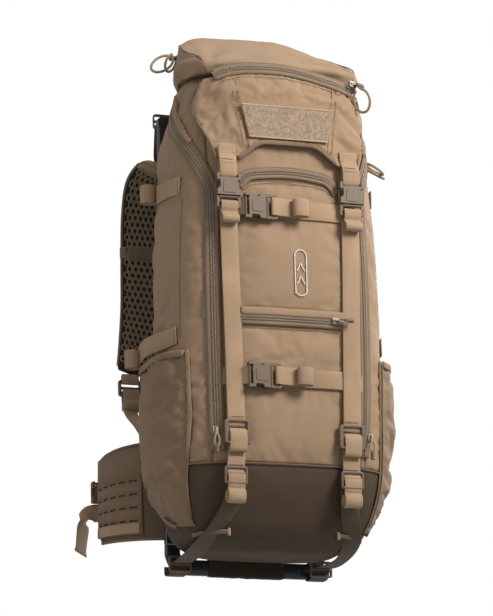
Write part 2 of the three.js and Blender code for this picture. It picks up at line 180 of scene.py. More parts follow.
# ------------------------------------------------------------------ materials
class Graph:
    """A small helper that builds a material's node tree, one call for each node."""

    def __init__(self, name):
        self.material = bpy.data.materials.new(name)
        self.material.use_nodes = True
        self.tree = self.material.node_tree
        self.shader = self.tree.nodes["Principled BSDF"]

    def node(self, kind, **settings):
        made = self.tree.nodes.new(kind)
        for key, value in settings.items():
            setattr(made, key, value)
        return made

    def link(self, output, target):
        self.tree.links.new(output, target)

    def combine(self, operation, a, b=None, c=None):
        """One Math node: each input is a number or another node's output."""
        made = self.node("ShaderNodeMath", operation=operation)
        for socket, value in zip(made.inputs, (a, b, c)):
            if value is None:
                continue
            if isinstance(value, (int, float)):
                socket.default_value = value
            else:
                self.link(value, socket)
        return made.outputs[0]

    def noise(self, scale, detail=2.0, coordinates="Object", stretch=None, roughness=0.5):
        place = self.node("ShaderNodeTexCoord").outputs[coordinates]
        if stretch:
            mapping = self.node("ShaderNodeMapping")
            mapping.inputs["Scale"].default_value = stretch
            self.link(place, mapping.inputs["Vector"])
            place = mapping.outputs[0]
        made = self.node("ShaderNodeTexNoise")
        made.inputs["Scale"].default_value = scale
        made.inputs["Detail"].default_value = detail
        made.inputs["Roughness"].default_value = roughness
        self.link(place, made.inputs["Vector"])
        return made.outputs["Fac"]

    def uv(self):
        split = self.node("ShaderNodeSeparateXYZ")
        self.link(self.node("ShaderNodeTexCoord").outputs["UV"], split.inputs[0])
        return split.outputs[0], split.outputs[1]

    def wave(self, value, pitch, phase=0.0):
        """A smooth wave from -1 to 1 that repeats every pitch, in metres."""
        return self.combine("SINE", self.combine("MULTIPLY_ADD", value, 2 * math.pi / pitch, phase))

    def colours(self, factor, dark, light, low=0.35, high=0.65):
        ramp = self.node("ShaderNodeValToRGB")
        ramp.color_ramp.elements[0].position = low
        ramp.color_ramp.elements[1].position = high
        ramp.color_ramp.elements[0].color = (*dark, 1)
        ramp.color_ramp.elements[1].color = (*light, 1)
        self.link(factor, ramp.inputs[0])
        return ramp.outputs[0]

    def bump(self, height, distance, strength=1.0, under=None):
        made = self.node("ShaderNodeBump")
        made.inputs["Strength"].default_value = strength
        made.inputs["Distance"].default_value = distance
        self.link(height, made.inputs["Height"])
        if under is not None:
            self.link(under, made.inputs["Normal"])
        return made.outputs[0]

    def roughness(self, factor, low, high):
        spread = self.node("ShaderNodeMapRange")
        spread.inputs["To Min"].default_value = low
        spread.inputs["To Max"].default_value = high
        self.link(factor, spread.inputs["Value"])
        self.link(spread.outputs[0], self.shader.inputs["Roughness"])


def shade(colour, factor):
    return tuple(channel * factor for channel in colour)


def cloth(name, colour, pitch, depth, sheen=0.1, rough=(0.62, 0.8), vary=0.1, coarse=0.0):
    """Woven cloth: a plain weave at its real pitch, soft colour variation and small creases."""
    graph = Graph(name)
    across, along = graph.uv()
    weave = graph.combine("MULTIPLY", graph.wave(across, 2 * pitch), graph.wave(along, 2 * pitch))
    slub = graph.noise(900, 2)
    patchy = graph.noise(9, 4)
    mixed = graph.combine("MULTIPLY_ADD", slub, 0.35, graph.combine("MULTIPLY", patchy, 0.65))
    if coarse:
        mixed = graph.combine("MULTIPLY_ADD", weave, coarse, mixed)
    graph.link(graph.colours(mixed, shade(colour, 1 - vary), shade(colour, 1 + vary)),
               graph.shader.inputs["Base Color"])
    creases = graph.bump(graph.noise(42, 5, roughness=0.55), 0.0011, 0.45)
    graph.link(graph.bump(weave, depth, 0.6, creases), graph.shader.inputs["Normal"])
    graph.roughness(patchy, *rough)
    graph.shader.inputs["Sheen Weight"].default_value = sheen
    graph.shader.inputs["Sheen Roughness"].default_value = 0.45
    graph.shader.inputs["Specular IOR Level"].default_value = 0.22
    return graph.material


def webbing_cloth(name, colour):
    """Nylon webbing: cross ribs with fine lines along it."""
    graph = Graph(name)
    across, along = graph.uv()
    ribs = graph.wave(along, 1.3 * MM)
    lines = graph.wave(across, 2.1 * MM)
    height = graph.combine("MULTIPLY_ADD", lines, 0.12, ribs)
    patchy = graph.noise(14, 3)
    mixed = graph.combine("MULTIPLY_ADD", height, 0.05, patchy)
    graph.link(graph.colours(mixed, shade(colour, 0.87), shade(colour, 1.1)),
               graph.shader.inputs["Base Color"])
    graph.link(graph.bump(height, 0.00016, 0.8), graph.shader.inputs["Normal"])
    graph.roughness(patchy, 0.5, 0.68)
    graph.shader.inputs["Sheen Weight"].default_value = 0.1
    graph.shader.inputs["Specular IOR Level"].default_value = 0.25
    return graph.material


def moulded(name, colour, rough=(0.36, 0.5), metallic=0.0, coat=0.0):
    """Moulded or coated hardware: fine grain, painted highlights on convex edges and painted shade in
    hollows.
    """
    graph = Graph(name)
    grain = graph.noise(2600, 2)
    patchy = graph.noise(60, 3)
    edges = graph.node("ShaderNodeNewGeometry").outputs["Pointiness"]
    # colour follows pointiness: painted highlights on convex edges and painted shade in hollows, plus a
    # little random patchy tone
    patchy_tone_and_painted_edge_light = graph.combine("MULTIPLY_ADD", patchy, 0.06, edges)
    graph.link(graph.colours(patchy_tone_and_painted_edge_light, shade(colour, 0.86), shade(colour, 1.25), 0.49, 0.6),
               graph.shader.inputs["Base Color"])
    graph.link(graph.bump(grain, 0.00005, 0.5), graph.shader.inputs["Normal"])
    graph.roughness(patchy, *rough)
    graph.shader.inputs["Metallic"].default_value = metallic
    graph.shader.inputs["Coat Weight"].default_value = coat
    return graph.material


def pile_cloth(name, colour):
    """Hook-and-loop pile: a dense felt of loops."""
    graph = Graph(name)
    fuzz = graph.noise(620, 4, roughness=0.7)
    clumps = graph.noise(190, 3)
    height = graph.combine("MULTIPLY_ADD", clumps, 0.6, fuzz)
    graph.link(graph.colours(height, shade(colour, 0.6), shade(colour, 1.3), 0.62, 0.98),
               graph.shader.inputs["Base Color"])
    graph.link(graph.bump(height, 0.0011, 0.9), graph.shader.inputs["Normal"])
    graph.shader.inputs["Roughness"].default_value = 0.9
    graph.shader.inputs["Sheen Weight"].default_value = 0.5
    return graph.material


TAN = (0.352, 0.236, 0.145)
CLOTH = {
    "shell": cloth("pack_cloth", TAN, 0.42 * MM, 0.00008),
    "lining": cloth("lining_cloth", shade(TAN, 0.55), 0.5 * MM, 0.0001),
    "base": cloth("ballistic_cloth", (0.083, 0.054, 0.033), 1.5 * MM, 0.0004, sheen=0.04, vary=0.18,
                  coarse=0.14),
    "pocket": cloth("stretch_cloth", shade(TAN, 0.74), 0.8 * MM, 0.00016, vary=0.08),
    "sleeve": cloth("sleeve_cloth", (0.045, 0.03, 0.018), 0.9 * MM, 0.0002, sheen=0.04),
    "binding": webbing_cloth("binding_tape", shade(TAN, 0.62)),
    "tape": webbing_cloth("zip_tape", (0.26, 0.182, 0.12)),
    "webbing": webbing_cloth("webbing", (0.42, 0.283, 0.172)),
    "dark_webbing": webbing_cloth("dark_webbing", (0.105, 0.071, 0.043)),
    "pile": pile_cloth("loop_pile", (0.335, 0.243, 0.163)),
    "foam": cloth("pad_cloth", (0.14, 0.096, 0.06), 0.7 * MM, 0.00015),
    "dark_foam": cloth("pad_core", (0.022, 0.017, 0.013), 0.9 * MM, 0.0002, sheen=0.05),
    "net": cloth("spacer_net", (0.25, 0.185, 0.122), 0.9 * MM, 0.0002),
    "thread": webbing_cloth("thread", shade(TAN, 0.5)),
    "pale_thread": webbing_cloth("pale_thread", (0.5, 0.37, 0.26)),
    "wing": cloth("wing_cloth", shade(TAN, 0.62), 0.6 * MM, 0.0001),
    "cord": webbing_cloth("cord", (0.4, 0.29, 0.19)),
    "mark": cloth("mark_print", (0.88, 0.86, 0.83), 0.4 * MM, 0.00003, vary=0.03),
    "buckle": moulded("buckle_plastic", (0.128, 0.088, 0.056), (0.42, 0.56)),
    "teeth": moulded("zip_teeth", (0.4, 0.31, 0.22), (0.3, 0.42)),
    "zip": moulded("zip_metal", (0.36, 0.3, 0.24), (0.3, 0.4), metallic=0.7),
    "frame": moulded("frame_coat", (0.016, 0.02, 0.027), (0.18, 0.3), coat=0.6),
}

# the record's slot for each look
LOOKS_IN_SLOT = {
    "shell_fabric": ("shell", "lining", "pocket", "tape", "thread", "pale_thread", "mark"),
    "base_fabric": ("base", "sleeve"),
    "webbing": ("webbing", "dark_webbing", "binding", "cord"),
    "mesh_foam": ("wing", "foam", "dark_foam", "net"),
    "loop_pile": ("pile",),
    "buckle_plastic": ("buckle", "teeth"),
    "zip_metal": ("zip",),
    "frame_tube": ("frame",),
}
SLOT = {look: slot for slot, looks in LOOKS_IN_SLOT.items() for look in looks}


# ------------------------------------------------------------------ mesh building
class Patchwork:
    """Collects faces with their own texture places, then becomes one object."""

    def __init__(self):
        self.points, self.faces, self.places, self.slots = [], [], [], []
        self.looks = []

    def face(self, corners, places=None, look=None):
        self.faces.append(corners)
        self.places.append(places or [(0.0, 0.0)] * len(corners))
        if look not in self.looks:
            self.looks.append(look)
        self.slots.append(self.looks.index(look))

    def grid(self, point, across, along, size, look=None, wrap=False):
        """point(u, v) gives a place for u and v in 0..1; size is the cloth's width and length in mm."""
        start = len(self.points)
        columns = across if wrap else across + 1
        for j in range(along + 1):
            for i in range(columns):
                self.points.append(point(i / across, j / along))
        for j in range(along):
            for i in range(across):
                ring = [(i, j), (i + 1, j), (i + 1, j + 1), (i, j + 1)]
                corners = [start + row * columns + column % columns for column, row in ring]
                places = [(column / across * size[0] * MM, row / along * size[1] * MM)
                          for column, row in ring]
                self.face(corners, places, look)
        return start, columns

    def cap(self, start, count, middle, look=None, turn=False):
        """Closes a ring of points with a fan to its middle."""
        self.points.append(middle)
        centre = len(self.points) - 1
        for i in range(count):
            a, b = start + i, start + (i + 1) % count
            self.face([centre, b, a] if turn else [centre, a, b], None, look)

    def block(self, centre, size, axes=None, look=None):
        """A small box, with optional axes."""
        x, y, z = axes or (X_AXIS, Y_AXIS, Z_AXIS)
        start = len(self.points)
        for k in (-0.5, 0.5):
            for j in (-0.5, 0.5):
                for i in (-0.5, 0.5):
                    self.points.append(centre + x * size[0] * i + y * size[1] * j + z * size[2] * k)
        for corners in ((0, 2, 3, 1), (4, 5, 7, 6), (0, 1, 5, 4), (2, 6, 7, 3), (0, 4, 6, 2), (1, 3, 7, 5)):
            self.face([start + c for c in corners], None, look)

    def build(self, name, look, smooth=True):
        mesh = bpy.data.meshes.new(name)
        mesh.from_pydata([tuple(p) for p in self.points], [], self.faces)
        layer = mesh.uv_layers.new(name="cloth")
        loop = 0
        for places in self.places:
            for place in places:
                layer.data[loop].uv = place
                loop += 1
        for used in self.looks:
            mesh.materials.append(CLOTH[used or look])
        mesh.polygons.foreach_set("material_index", self.slots)
        mesh.polygons.foreach_set("use_smooth", [smooth] * len(mesh.polygons))
        mesh.update()
        made = bpy.data.objects.new(name, mesh)
        bpy.context.collection.objects.link(made)
        return made

    def piece(self, name, body, look, *nodes):
        """Builds the object and settles it on its body."""
        return settle(self.build(name, look), body, look, *nodes)


def settle(piece, body, look, *nodes):
    """Every piece rides on a body and may stand for CAD nodes."""
    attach(piece, body)
    if nodes:
        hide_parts(*nodes)
    return piece


def sheet_piece(name, point, cells, size, body, look, thick=1.2, nodes=(), outward=1):
    """A cloth panel from a surface, with its thickness behind it."""
    work = Patchwork()
    work.grid(point, cells[0], cells[1], size)
    piece = work.build(name, look)
    if thick:
        add_thickness(piece, thick, outward)
    return settle(piece, body, look, *nodes)


def add_thickness(piece, thick, outward=1):
    shell = piece.modifiers.new("thickness", "SOLIDIFY")
    shell.thickness = thick * MM
    shell.offset = -outward
    shell.use_rim = True
    apply_modifiers(piece)


def apply_modifiers(piece):
    bpy.context.view_layer.update()
    evaluated = piece.evaluated_get(bpy.context.evaluated_depsgraph_get())
    mesh = bpy.data.meshes.new_from_object(evaluated)
    old = piece.data
    piece.modifiers.clear()
    piece.data = mesh
    bpy.data.meshes.remove(old)


class Route:
    """A smooth path through given points, walked by distance."""

    def __init__(self, points):
        self.controls = [Vector(p) for p in points]
        steps = max(160, 6 * len(self.controls))
        self.samples = [self.raw(i / steps) for i in range(steps + 1)]
        self.lengths = [0.0]
        for a, b in zip(self.samples, self.samples[1:]):
            self.lengths.append(self.lengths[-1] + (b - a).length)
        self.length = self.lengths[-1]

    def raw(self, t):
        spans = len(self.controls) - 1
        place = clamp(t) * spans
        i = min(int(place), spans - 1)
        f = place - i
        p1, p2 = self.controls[i], self.controls[i + 1]
        p0 = self.controls[i - 1] if i > 0 else p1 * 2 - p2
        p3 = self.controls[i + 2] if i + 2 <= spans else p2 * 2 - p1
        return 0.5 * ((p1 * 2) + (p2 - p0) * f + (p0 * 2 - p1 * 5 + p2 * 4 - p3) * f * f
                      + (p1 * 3 - p0 - p2 * 3 + p3) * f * f * f)

    def at(self, share):
        """The place a share of the way along, and the direction there."""
        wanted = clamp(share) * self.length
        low, high = 0, len(self.lengths) - 1
        while high - low > 1:
            middle = (low + high) // 2
            if self.lengths[middle] > wanted:
                high = middle
            else:
                low = middle
        span = max(self.lengths[high] - self.lengths[low], 1e-9)
        point = self.samples[low].lerp(self.samples[high], (wanted - self.lengths[low]) / span)
        before = self.samples[max(low - 1, 0)]
        after = self.samples[min(high + 1, len(self.samples) - 1)]
        return point, (after - before).normalized()


def strap_mesh(work, points, across, width=WEB, thick=1.7, look=None, taper=None, step=4.0):
    """A webbing strap: a flat band with rounded edges. across is its width's direction, one for each point,
    or a function of a place and the direction ahead."""
    route = Route(points)
    if not callable(across):
        several = isinstance(across[0], (tuple, list, Vector))
        turn = Route(across if several else [across, across])
    outline = []
    for k in range(12):
        angle = 2 * math.pi * (k + 0.5) / 12
        flat = clamp(math.cos(angle) * 1.3, -1, 1)
        outline.append((flat * 0.5, bent(math.sin(angle), 0.7) * 0.5))

    def point(u, v):
        place, ahead = route.at(v)
        side = across(place, ahead) if callable(across) else turn.raw(v)
        side = (side - ahead * side.dot(ahead)).normalized()
        normal = ahead.cross(side)
        x, y = outline[round(u * 12) % 12]
        wide = width * (taper(v) if taper else 1)
        return at(*(place + side * x * wide + normal * y * thick))

    rows = max(2, int(route.length / step))
    start, columns = work.grid(point, 12, rows, (2 * (width + thick), route.length), look, wrap=True)
    work.cap(start, columns, at(*route.at(0)[0]), look, turn=True)
    work.cap(start + rows * columns, columns, at(*route.at(1)[0]), look)


def strap(name, points, across, body, look="webbing", nodes=(), **details):
    """A webbing strap that is a piece of its own."""
    work = Patchwork()
    strap_mesh(work, points, across, **details)
    return work.piece(name, body, look, *nodes)


def tube_mesh(work, points, radius, look=None, sides=10, step=2.0):
    """A cord or wire along a path."""
    route = Route(points)
    rows = max(4, int(route.length / step))
    reference = Vector((0.31, 0.53, 0.79)).normalized()

    def point(u, v):
        place, ahead = route.at(v)
        side = ahead.cross(reference).normalized()
        other = ahead.cross(side)
        angle = 2 * math.pi * u
        return at(*(place + (side * math.cos(angle) + other * math.sin(angle)) * radius))

    start, columns = work.grid(point, sides, rows, (2 * math.pi * radius, route.length), look, wrap=True)
    work.cap(start, columns, at(*route.at(0)[0]), look, turn=True)
    work.cap(start + rows * columns, columns, at(*route.at(1)[0]), look)


def stitch_mesh(work, points, normal, pitch=3.4, long=2.3, wide=0.8, high=0.5, look="thread"):
    """A row of stitches along a path that lies on a surface."""
    route = Route(points)
    for i in range(int(route.length / pitch)):
        place, ahead = route.at((i + 0.5) * pitch / route.length)
        out = Vector(normal(place)) if callable(normal) else Vector(normal)
        out = (out - ahead * out.dot(ahead)).normalized()
        side = ahead.cross(out)
        work.block(at(*place), (long * MM, wide * MM, high * MM), (ahead, side, out), look)


def rounded(corners, radius, segments=4):
    """A flat outline with each corner rounded."""
    outline = []
    count = len(corners)
    for i in range(count):
        before, corner, after = (Vector(corners[(i + k) % count]) for k in (-1, 0, 1))
        back, ahead = (before - corner), (after - corner)
        cut = min(radius, back.length * 0.49, ahead.length * 0.49)
        start, end = corner + back.normalized() * cut, corner + ahead.normalized() * cut
        for k in range(segments + 1):
            t = k / segments
            outline.append(start.lerp(corner, t).lerp(corner.lerp(end, t), t))
    return outline


def rounded_box(x, z, wide, high, radius):
    corners = [(x - wide / 2, z - high / 2), (x + wide / 2, z - high / 2),
               (x + wide / 2, z + high / 2), (x - wide / 2, z + high / 2)]
    return rounded(corners, radius)


def plate_mesh(work, loops, front, back, bevel, place=None, look=None):
    """A moulded plate with rounded edges. loops are flat outlines in X and Z: the outside, then the holes."""
    curve = bpy.data.curves.new("outline", "CURVE")
    curve.dimensions = "2D"
    curve.fill_mode = "BOTH"
    curve.extrude = (back - front) / 2 - bevel
    curve.bevel_depth = bevel
    curve.offset = -bevel
    curve.bevel_resolution = 1
    for loop in loops:
        spline = curve.splines.new("POLY")
        spline.points.add(len(loop) - 1)
        for point, corner in zip(spline.points, loop):
            point.co = (corner[0], corner[1], 0, 1)
        spline.use_cyclic_u = True
    shape = bpy.data.objects.new("outline", curve)
    bpy.context.collection.objects.link(shape)
    bpy.context.view_layer.update()
    mesh = bpy.data.meshes.new_from_object(shape.evaluated_get(bpy.context.evaluated_depsgraph_get()))
    start = len(work.points)
    middle = (front + back) / 2
    for vertex in mesh.vertices:
        local = Vector((vertex.co.x, middle - vertex.co.z, vertex.co.y))
        work.points.append(at(*(place(local) if place else local)))
    for polygon in mesh.polygons:
        work.face([start + k for k in polygon.vertices], None, look)
    bpy.data.objects.remove(shape)
    bpy.data.curves.remove(curve)
    bpy.data.meshes.remove(mesh)


def hard_piece(work, name, body, look, *nodes):
    """A moulded piece: its sharp edges stay sharp."""
    piece = work.build(name, look)
    piece.data.set_sharp_from_angle(angle=math.radians(38))
    return settle(piece, body, look, *nodes)


# ------------------------------------------------------------------ shape of the bag and the lid
BAG_POWER = 3.2
BAG = (         # height, half width, front, back, and how far the section is shifted sideways
    (20, 100, -118, -20, 0),
    (34, 126, -142, -8, 0),
    (60, 140, -160, -3, 0),
    (110, 150, -180, -1, 0),
    (180, 153, -190, -1, 0),
    (300, 153, -195, -1, 0),
    (430, 150, -195, -1, 0),
    (530, 144, -190, -1, 0),
    (600, 138, -182, -1, 0),
    (668, 126, -165, -1, 0),
)
LID = (
    (674, 130, -172, 3, 4),
    (690, 136, -176, 4, 3),
    (712, 124, -140, 4, -3),
    (735, 114, -102, 4, -7),
    (752, 99, -76, 2, -14),
    (762, 68, -56, -12, -20),
)
APRON = (
    (540, 165, -198.8, -1, 0),
    (591, 140, -195.5, -1, 0),
    (627, 133, -193.2, -1, 0),
    (645, 132, -192, -1, 0),
    (676, 134, -182.5, -1, 0),
)
BASE_SEAM = 126
SIDE_SEAM = 110
BACK_SEAM = -11
BAG_TOP = 668
STRAP_X = 89
COMPRESSION = {"upper": 478, "lower": 243}


def section(rows, z):
    """Half width, front, back and shift of a shell at a height, on a smooth curve through its rows."""
    i = 0
    while i < len(rows) - 2 and z > rows[i + 1][0]:
        i += 1
    low, high = rows[i], rows[i + 1]
    before, after = rows[max(i - 1, 0)], rows[min(i + 2, len(rows) - 1)]
    span = high[0] - low[0]
    f = (z - low[0]) / span
    if f < 0 or f > 1:
        return [lerp(low[k], high[k], f) for k in (1, 2, 3, 4)]
    found = []
    for k in (1, 2, 3, 4):
        m0 = (high[k] - before[k]) / (high[0] - before[0]) * span
        m1 = (after[k] - low[k]) / (after[0] - low[0]) * span
        found.append(low[k] * (2 * f ** 3 - 3 * f ** 2 + 1) + m0 * (f ** 3 - 2 * f ** 2 + f)
                     + high[k] * (3 * f ** 2 - 2 * f ** 3) + m1 * (f ** 3 - f ** 2))
    return found


def width_kept(y, z):
    """The share of its width that a shell keeps: it draws in towards the frame near the top."""
    return 1 - 0.22 * ease(560, 690, z) * ease(-130, 0, y)


def ring(angle, z, grow=0.0, rows=BAG):
    """A point on the shell: the angle is 0 to the right and -90 degrees at the front."""
    half, front, back, shift = section(rows, z)
    c, s = math.cos(angle), math.sin(angle)
    stretch = (abs(c) ** BAG_POWER + abs(s) ** BAG_POWER) ** (-1 / BAG_POWER)
    y = (front + back) / 2 + stretch * s * ((back - front) / 2 + grow)
    return Vector(((shift + stretch * c * (half + grow)) * width_kept(y, z), y, z))


def front_at(x, z, grow=0.0, rows=BAG):
    """The point on a shell's front at a place across it and a height."""
    half, front, back, shift = section(rows, z)
    share = min(abs(x - shift) / (half + grow), 1)
    deep = (1 - share ** BAG_POWER) ** (1 / BAG_POWER) * ((back - front) / 2 + grow)
    return Vector((x, (front + back) / 2 - deep, z))


def side_at(sign, y, z, grow=0.0, rows=BAG):
    """The point on a shell's side at a depth and a height."""
    half, front, back, shift = section(rows, z)
    share = min(abs(y - (front + back) / 2) / ((back - front) / 2 + grow), 1)
    x = shift + sign * (half + grow) * (1 - share ** BAG_POWER) ** (1 / BAG_POWER)
    return Vector((x * width_kept(y, z), y, z))


def shell_normal(place, rows=BAG):
    """The direction straight out of the shell at a place near its surface."""
    def level(x, y, z):
        half, front, back, shift = section(rows, z)
        return (abs((x / width_kept(y, z) - shift) / half) ** BAG_POWER
                + abs((y - (front + back) / 2) / ((back - front) / 2)) ** BAG_POWER)

    x, y, z = place
    return Vector((level(x + 1, y, z) - level(x - 1, y, z), level(x, y + 1, z) - level(x, y - 1, z),
                   level(x, y, z + 1) - level(x, y, z - 1))).normalized()


def angle_of(place):
    """The angle at which ring() passes a place on the bag."""
    half, front, back = section(BAG, place.z)[:3]
    across = place.x / width_kept(place.y, place.z) / half
    return math.atan2((place.y - (front + back) / 2) / ((back - front) / 2), across)


def crumple(place, size, seed=0.0):
    """Soft creases, from -1 to 1, about size mm apart."""
    spot = Vector((place[0] + seed * 37, place[1] - seed * 61, place[2] + seed * 23)) / size
    return noise.fractal(spot, 0.9, 2.1, 3, noise_basis="PERLIN_ORIGINAL")


def near_route(route, reach):
    """A function that says how near a place is to a route: 1 on it, 0 beyond reach."""
    samples = route.samples[::3]

    def nearness(place):
        gap = min((place - sample).length for sample in samples)
        return 1 - clamp(gap / reach)

    return nearness


# ------------------------------------------------------------------ cloth panels
def blow_out(piece, places, weights, cap, stretch, pressure):
    """Cloth simulation of a panel pressed out by its load and held where weights says. No point may
    move further than cap, in mm."""
    group = piece.vertex_groups.new(name="held")
    for index, weight in enumerate(weights):
        if weight > 0.01:
            group.add([index], weight, "REPLACE")
    simulation = piece.modifiers.new("cloth", "CLOTH")
    simulation.collision_settings.use_collision = False
    simulation.point_cache.frame_end = 20
    settings = simulation.settings
    settings.quality = 5
    settings.mass = 0.2
    settings.tension_stiffness = 25
    settings.compression_stiffness = 25
    settings.shear_stiffness = 12
    settings.bending_stiffness = 0.4
    settings.vertex_group_mass = "held"
    settings.use_pressure = True
    settings.uniform_pressure_force = pressure
    settings.shrink_min = -stretch
    settings.effector_weights.gravity = 0
    for step in range(1, 21):
        bpy.context.scene.frame_set(step)
    shaped = piece.evaluated_get(bpy.context.evaluated_depsgraph_get()).data
    for vertex, moved in zip(piece.data.vertices, shaped.vertices):
        shift = moved.co - vertex.co
        far = shift.length / MM
        if far > 1e-6:
            limit = cap(places[vertex.index]) if callable(cap) else cap
            vertex.co += shift * (limit * math.tanh(far / max(limit, 0.01)) / far)
    piece.modifiers.clear()
    piece.vertex_groups.clear()
    bpy.context.scene.frame_set(1)
    piece.data.update()


def cloth_panel(name, point, cells, size, body, look, nodes=(), thick=1.4, held=None, cap=5.0, stretch=0.02,
                pressure=3.0, crease=0.6, crease_size=60, tuck=1.6, seed=0.0, wrap=False):
    """A panel of the bag. point(u, v) is its surface in mm, with u x v pointing outward. Its edges turn in,
    it takes soft creases, and a cloth simulation presses it out where held(place) is below 1."""
    across, along = cells
    columns = across if wrap else across + 1
    places = [point(i / across, j / along) for j in range(along + 1) for i in range(columns)]
    work = Patchwork()
    weights = []

    def neighbour(i, j):
        i = i % across if wrap else max(0, min(across, i))
        return places[max(0, min(along, j)) * columns + i]

    def shaped(u, v):
        i, j = round(u * across), round(v * along)
        here = neighbour(i, j)
        ahead = neighbour(i + 1, j) - neighbour(i - 1, j)
        up = neighbour(i, j + 1) - neighbour(i, j - 1)
        normal = ahead.cross(up).normalized()
        rim = v * size[1] if wrap else min(min(u, 1 - u) * size[0], min(v, 1 - v) * size[1])
        weight = max(held(here) if held else 0.0, 1 - clamp(rim / 4))
        weights.append(weight)
        lift = crease * crumple(here, crease_size, seed) * (1 - weight) - tuck * math.exp(-rim / 3.5)
        return at(*(here + normal * lift))

    work.grid(shaped, across, along, size, wrap=wrap)
    piece = work.build(name, look)
    blow_out(piece, places, weights, cap, stretch, pressure)
    add_thickness(piece, thick)
    settle(piece, body, look, *nodes)
    return piece


def bag_ribbon(work, points, width, thick=1.2, look=None, rows=BAG, step=5.0):
    """A tape that lies flat on the bag along a path."""
    def across(place, ahead):
        return ahead.cross(shell_normal(place, rows))

    strap_mesh(work, points, across, width, thick, look, step=step)


# ------------------------------------------------------------------ bag panels
def side_zip_points(sign, lift):
    """The main zip: up the front corner, then back over the shoulder of the bag and in under the lid."""
    corner = ((105, 142), (108, 200), (110, 300), (110, 404), (109, 460), (110, 508))
    shoulder = ((-166, 546), (-154, 566), (-134, 587), (-108, 608), (-84, 632), (-70, 652), (-64, 664))
    return ([front_at(sign * x, z, lift) for x, z in corner]
            + [side_at(sign, y, z, lift) for y, z in shoulder])


SIDE_ZIPS = {side: Route(side_zip_points(sign, 0)) for side, sign in SIDES.items()}
NEAR_ZIP = {side: near_route(route, 20) for side, route in SIDE_ZIPS.items()}


def arch_z(x):
    """Height of the upper pocket's zip across the front."""
    return 531 - 9 * (x / 70) ** 2 - 14 * ease(58, 76, abs(x))


def front_held(place):
    """Where the front panel is held: under the straps and along the zips."""
    x, z = abs(place.x), place.z
    straps = ease(70, 78, x)
    bands = max(1 - ease(14, 24, abs(z - height)) for height in COMPRESSION.values())
    zips = max(1 - ease(8, 16, abs(z - 322)), 1 - ease(7, 15, abs(z - arch_z(x))))
    return max(straps, bands, zips)


def make_front():
    def point(u, v):
        x = lerp(-SIDE_SEAM, SIDE_SEAM, u)
        z = lerp(BASE_SEAM + 0.5, BAG_TOP, v)
        return front_at(x, z, -0.6)

    cloth_panel("front_panel_cloth", point, (56, 136), (222, 545), "root", "shell", ["front_panel"],
                held=front_held, cap=5.5, stretch=0.012, crease=0.7, seed=1)


def side_held(side):
    """Where a side panel is held: under its straps, along its front seam and at the zip."""
    def held(place):
        upper = 1 - ease(13, 22, abs(place.z - 518))
        lower = 1 - ease(15, 24, abs(place.z - 302))
        seam = 1 - ease(2, 10, abs(place.y + 150))
        return max(upper * 0.9, lower, seam * 0.8, ease(0.1, 0.5, NEAR_ZIP[side](place)))

    return held


def make_sides():
    for side, sign in SIDES.items():
        def point(u, v):
            z = lerp(BASE_SEAM + 0.5, BAG_TOP, v)
            u = u if sign > 0 else 1 - u
            corner = angle_of(front_at(SIDE_SEAM + 0.4, z))
            back = angle_of(side_at(1, BACK_SEAM, z))
            place = ring(lerp(corner, back, u), z, -0.4)
            return Vector((sign * place.x, place.y, place.z))

        cloth_panel(f"{side}_side_cloth", point, (48, 120), (200, 545), "root", "shell",
                    [f"{side}_side_panel"], held=side_held(side), cap=4.5, stretch=0.03, crease=1.1,
                    seed=2 + sign)


def make_back():
    def point(u, v):
        z = lerp(BASE_SEAM + 0.5, BAG_TOP, v)
        start = angle_of(side_at(1, BACK_SEAM + 0.5, z))
        return ring(lerp(start, math.pi - start, u), z, -0.6)

    cloth_panel("back_panel_cloth", point, (60, 100), (300, 545), "root", "foam", ["back_panel"],
                cap=0.6, stretch=0.0, crease=0.3, seed=5)


def make_base():
    work = Patchwork()

    def point(u, v):
        z = lerp(20.5, BASE_SEAM - 0.4, v)
        place = ring(2 * math.pi * u, z, -0.5)
        away = ease(0, 12, BASE_SEAM - z)
        lift = 1.1 * crumple(place, 48, 7) * away - 1.6 * (1 - ease(0, 5, BASE_SEAM - z))
        return at(*(place + shell_normal(place) * lift))

    start, columns = work.grid(point, 160, 26, (820, 112), wrap=True)
    previous = start
    for share, z in ((0.92, 18.6), (0.7, 18.2), (0.4, 18.4)):
        inner = len(work.points)
        for i in range(columns):
            place = ring(2 * math.pi * i / columns, 20.5)
            middle = Vector((0, -69, z))
            work.points.append(at(*(middle + (place - middle) * share).to_2d(), z))
        for i in range(columns):
            k = (i + 1) % columns
            corners = [inner + i, inner + k, previous + k, previous + i]
            places = [tuple(work.points[corner][:2]) for corner in corners]
            work.face(corners, places)
        previous = inner
    work.cap(previous, columns, at(0, -69, 18.4), turn=True)
    piece = work.build("base_cloth", "base")
    add_thickness(piece, 1.6)
    settle(piece, "root", "base", "base_panel")


# ------------------------------------------------------------------ side pockets
POCKET_TOP = 281
POCKET_LOW = 46


def pocket_back(z):
    """The pocket's rear edge: straight down, then sweeping forward to its foot."""
    drop = clamp((176 - z) / (176 - POCKET_LOW))
    return -17 - 106 * (1 - math.sqrt(max(0.0, 1 - drop * drop)))


def pocket_front(z):
    """The pocket's front edge: a straight seam near the bag's front corner, curving back at its foot."""
    return -166 + 34 * clamp((205 - z) / 155) ** 1.6


def pocket_point(sign, u, z, extra=0.0):
    """A place on the pocket's outer face: u runs from its rear edge to its front edge."""
    y = lerp(pocket_back(z), pocket_front(z), u)
    rise = ease(0, 0.2, u) * ease(0, 0.3, 1 - u)
    proud = 3.0 + 14.5 * rise * ease(POCKET_LOW - 6, 110, z)
    return side_at(sign, y, z, proud + extra)


def pocket_fold(u, z):
    """Slack folds that run down and forward to the pocket's front seam."""
    wave = math.sin((z + 95 * u) * 0.105) + 0.5 * math.sin((z + 60 * u) * 0.19 + 1)
    kept = ease(0.35, 0.8, u) * ease(0, 0.06, 1 - u) * ease(50, 90, z) * ease(0, 30, POCKET_TOP - z)
    return 0.9 * wave * kept


